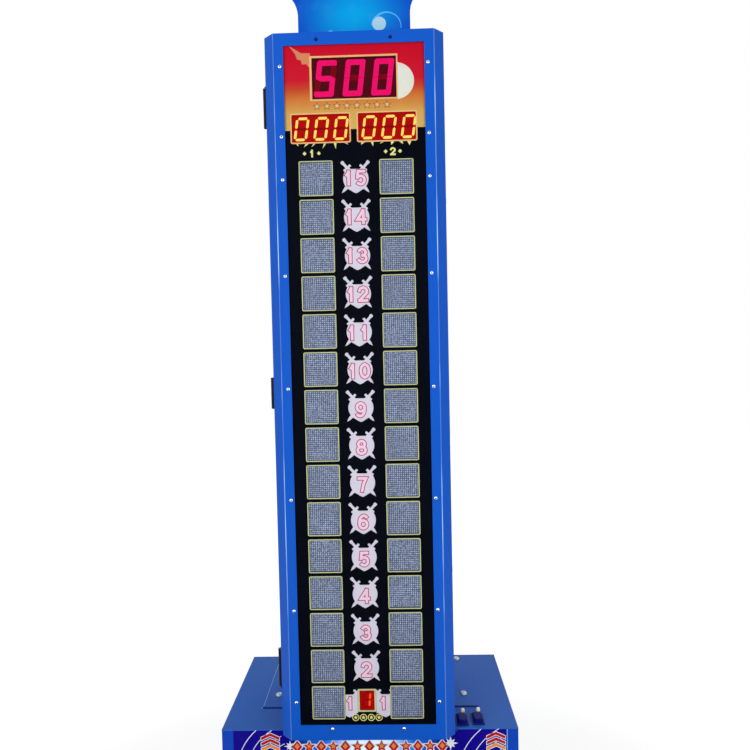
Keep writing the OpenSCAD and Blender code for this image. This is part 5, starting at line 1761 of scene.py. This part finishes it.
class TESTER_OT_electrics(bpy.types.Operator):
    """Fits the parts of the control board, supply, display board and mains inlet."""
    bl_idname = "strength_tester.electrics"
    bl_label = "Electrics"

    def execute(self, context):
        dress("control_board", "board_green", 0.3)
        dress("power_rocker", "red_plastic", 0.8)
        self.board()
        self.supply()
        self.drivers()
        self.inlet()
        return {"FINISHED"}

    @staticmethod
    def board():
        """Chips and sockets with their legs, and five capacitors, on the control board."""
        low, high = edges("control_board")
        middle_x, middle_y = (low.x + high.x) / 2, (low.y + high.y) / 2
        work = Work()
        deck = low.z + 12
        draw = random.Random(3)
        for x, y, w, d, h in ((-32, 40, 22, 22, 3), (-30, 80, 30, 14, 4), (-34, 6, 18, 8, 3),
                              (-8, 84, 12, 20, 9), (-44, -98, 30, 10, 11), (0, -98, 40, 10, 11),
                              (6, 20, 10, 16, 3)):
            cx, cy = middle_x + x, middle_y + y
            work.finish = 0
            work.box((cx - w / 2, cx + w / 2), (cy - d / 2, cy + d / 2), (deck - 0.2, deck + h))
            work.finish = 1
            for k in range(int(w // 4)):
                px = cx - w / 2 + 2 + 4 * k
                for way in (-1, 1):
                    a, b = sorted((cy + way * d / 2, cy + way * (d / 2 + 1.4)))
                    work.box((px - 0.5, px + 0.5), (a, b), (deck - 0.2, deck + 1.2))
        work.finish = 2
        for k in range(5):
            spot = (middle_x + 4 - k * 9, middle_y - 20 + draw.uniform(-3, 3), deck - 0.2)
            work.lathe([(0, 0), (3.6, 0), (3.6, 8.6), (3.0, 9.4), (0, 9.4)], spot, "z", 16)
        work.done("board_parts", "chip_black zinc grey_plastic", "cabinet", "circuit")

    @staticmethod
    def supply():
        """Black bars on the lid as painted shade for the vent slots, and the terminal strip of the
        power supply.
        """
        low, high = edges("power_supply")
        work = Work()
        # The vent slots aren't cut: black bars stand on the lid as painted shade for them.
        for k in range(9):
            y = low.y + 28 + 14 * k
            work.slab([(low.x + 20, y), (high.x - 20, y), (high.x - 20, y + 6), (low.x + 20, y + 6)],
                      high.z - 0.2, high.z + 0.5)
        work.finish = 1
        work.box((low.x + 12, high.x - 12), (low.y - 5, low.y + 8), (low.z + 8, low.z + 26))
        work.finish = 2
        for k in range(7):
            x = low.x + 22 + 11 * k
            work.lathe([(0, -0.8), (2.2, -0.7), (3.0, 0.0), (3.0, 0.4), (0, 0.4)],
                       (x, low.y - 5, low.z + 17), "y", 14)
        work.done("supply_parts", "hinge_black black_plastic brass", "cabinet", "zinc_steel")

    @staticmethod
    def drivers():
        """A driver chip and a capacitor at each side of every row but the end ones."""
        low = edges("display_board")[0]
        work = Work()
        for row in range(1, ROWS - 1):
            z = row_z(row)
            for x in (-170, 170):
                work.finish = 0
                work.box((x - 4.5, x + 4.5), (low.y - 3, low.y + 0.2), (z - 14, z + 14))
                work.finish = 1
                for k in range(7):
                    for way in (-1, 1):
                        a, b = sorted((x + way * 4.5, x + way * 6.2))
                        work.box((a, b), (low.y - 1.4, low.y + 0.2),
                                 (z - 12.5 + 4 * k - 0.5, z - 12.5 + 4 * k + 0.5))
                work.finish = 2
                work.lathe([(0, -11), (4, -10.6), (4.4, -9.6), (4.4, 0.2), (0, 0.2)],
                           (x, low.y, z + 28), "y", 16)
        work.done("driver_parts", "chip_black zinc grey_plastic", "cabinet", "board")

    @staticmethod
    def inlet():
        """The mains inlet's four screws and the rocker's two marks."""
        low, high = edges("power_inlet")
        work = Work()
        for way in (-1, 1):
            for z in (low.z + 6, high.z - 6):
                work.lathe([(0, -1.1), (1.6, -1.0), (2.8, -0.4), (3.0, 0.2), (0, 0.2)],
                           ((low.x + high.x) / 2 + way * 20, high.y, z), "y", 16, -1)
        work.done("inlet_screws", "zinc", "cabinet", "zinc_steel")
        low, high = edges("power_rocker")
        marks = Work()
        x, z = (low.x + high.x) / 2, (low.z + high.z) / 2
        tilt = math.radians(ROCKER_TILT)

        def on_face(points):
            """Lays a mark on the tilted front of the rocker."""
            rings = []
            for out in (5.9, 6.2):
                rings.append([(x + a, ROCKER_PIN_Y + out * math.cos(tilt) - b * math.sin(tilt),
                               z + b * math.cos(tilt) + out * math.sin(tilt)) for a, b in points])
            return rings

        marks.skin(on_face([(-0.6, 2.2), (0.6, 2.2), (0.6, 6.4), (-0.6, 6.4)]))
        outer, inner = circle(2.3, 24, 0, -4.3), circle(1.4, 24, 0, -4.3)
        a, b = on_face(outer), on_face(inner)
        marks.skin([a[0], a[1], b[1], b[0]], closed=True)
        marks.done("rocker_marks", "white_ink", "power_switch", "red_plastic")


PIECES = (TESTER_OT_stage, TESTER_OT_sheet_metal, TESTER_OT_score_sheet, TESTER_OT_light_cells,
          TESTER_OT_shields, TESTER_OT_header, TESTER_OT_displays, TESTER_OT_fasteners,
          TESTER_OT_hinge_details, TESTER_OT_buttons, TESTER_OT_striker, TESTER_OT_mallet,
          TESTER_OT_wheels_and_feet, TESTER_OT_coin_door, TESTER_OT_speakers,
          TESTER_OT_console_art, TESTER_OT_topper, TESTER_OT_electrics)


class TESTER_PT_pieces(bpy.types.Panel):
    """Lists the machine's pieces and its colours."""
    bl_idname = "TESTER_PT_pieces"
    bl_label = "Strength tester"
    bl_space_type = "VIEW_3D"
    bl_region_type = "UI"
    bl_category = "Strength tester"

    def draw(self, context):
        for group in (context.scene.strength_tester_colours, context.scene.strength_tester_show):
            box = self.layout.box()
            for name in group.__annotations__:
                box.prop(group, name)
        for piece in PIECES:
            self.layout.operator(piece.bl_idname)


CLASSES = (StrengthTesterColours, StrengthTesterShow, *PIECES, TESTER_PT_pieces)


def register():
    for made in CLASSES:
        bpy.utils.register_class(made)
    bpy.types.Scene.strength_tester_colours = PointerProperty(type=StrengthTesterColours)
    bpy.types.Scene.strength_tester_show = PointerProperty(type=StrengthTesterShow)


def unregister():
    del bpy.types.Scene.strength_tester_show
    del bpy.types.Scene.strength_tester_colours
    for made in reversed(CLASSES):
        bpy.utils.unregister_class(made)


def main():
    register()
    mix_finishes(colours())
    for piece in PIECES:
        group, name = piece.bl_idname.split(".")
        getattr(getattr(bpy.ops, group), name)()


if __name__ == "__main__":
    main()
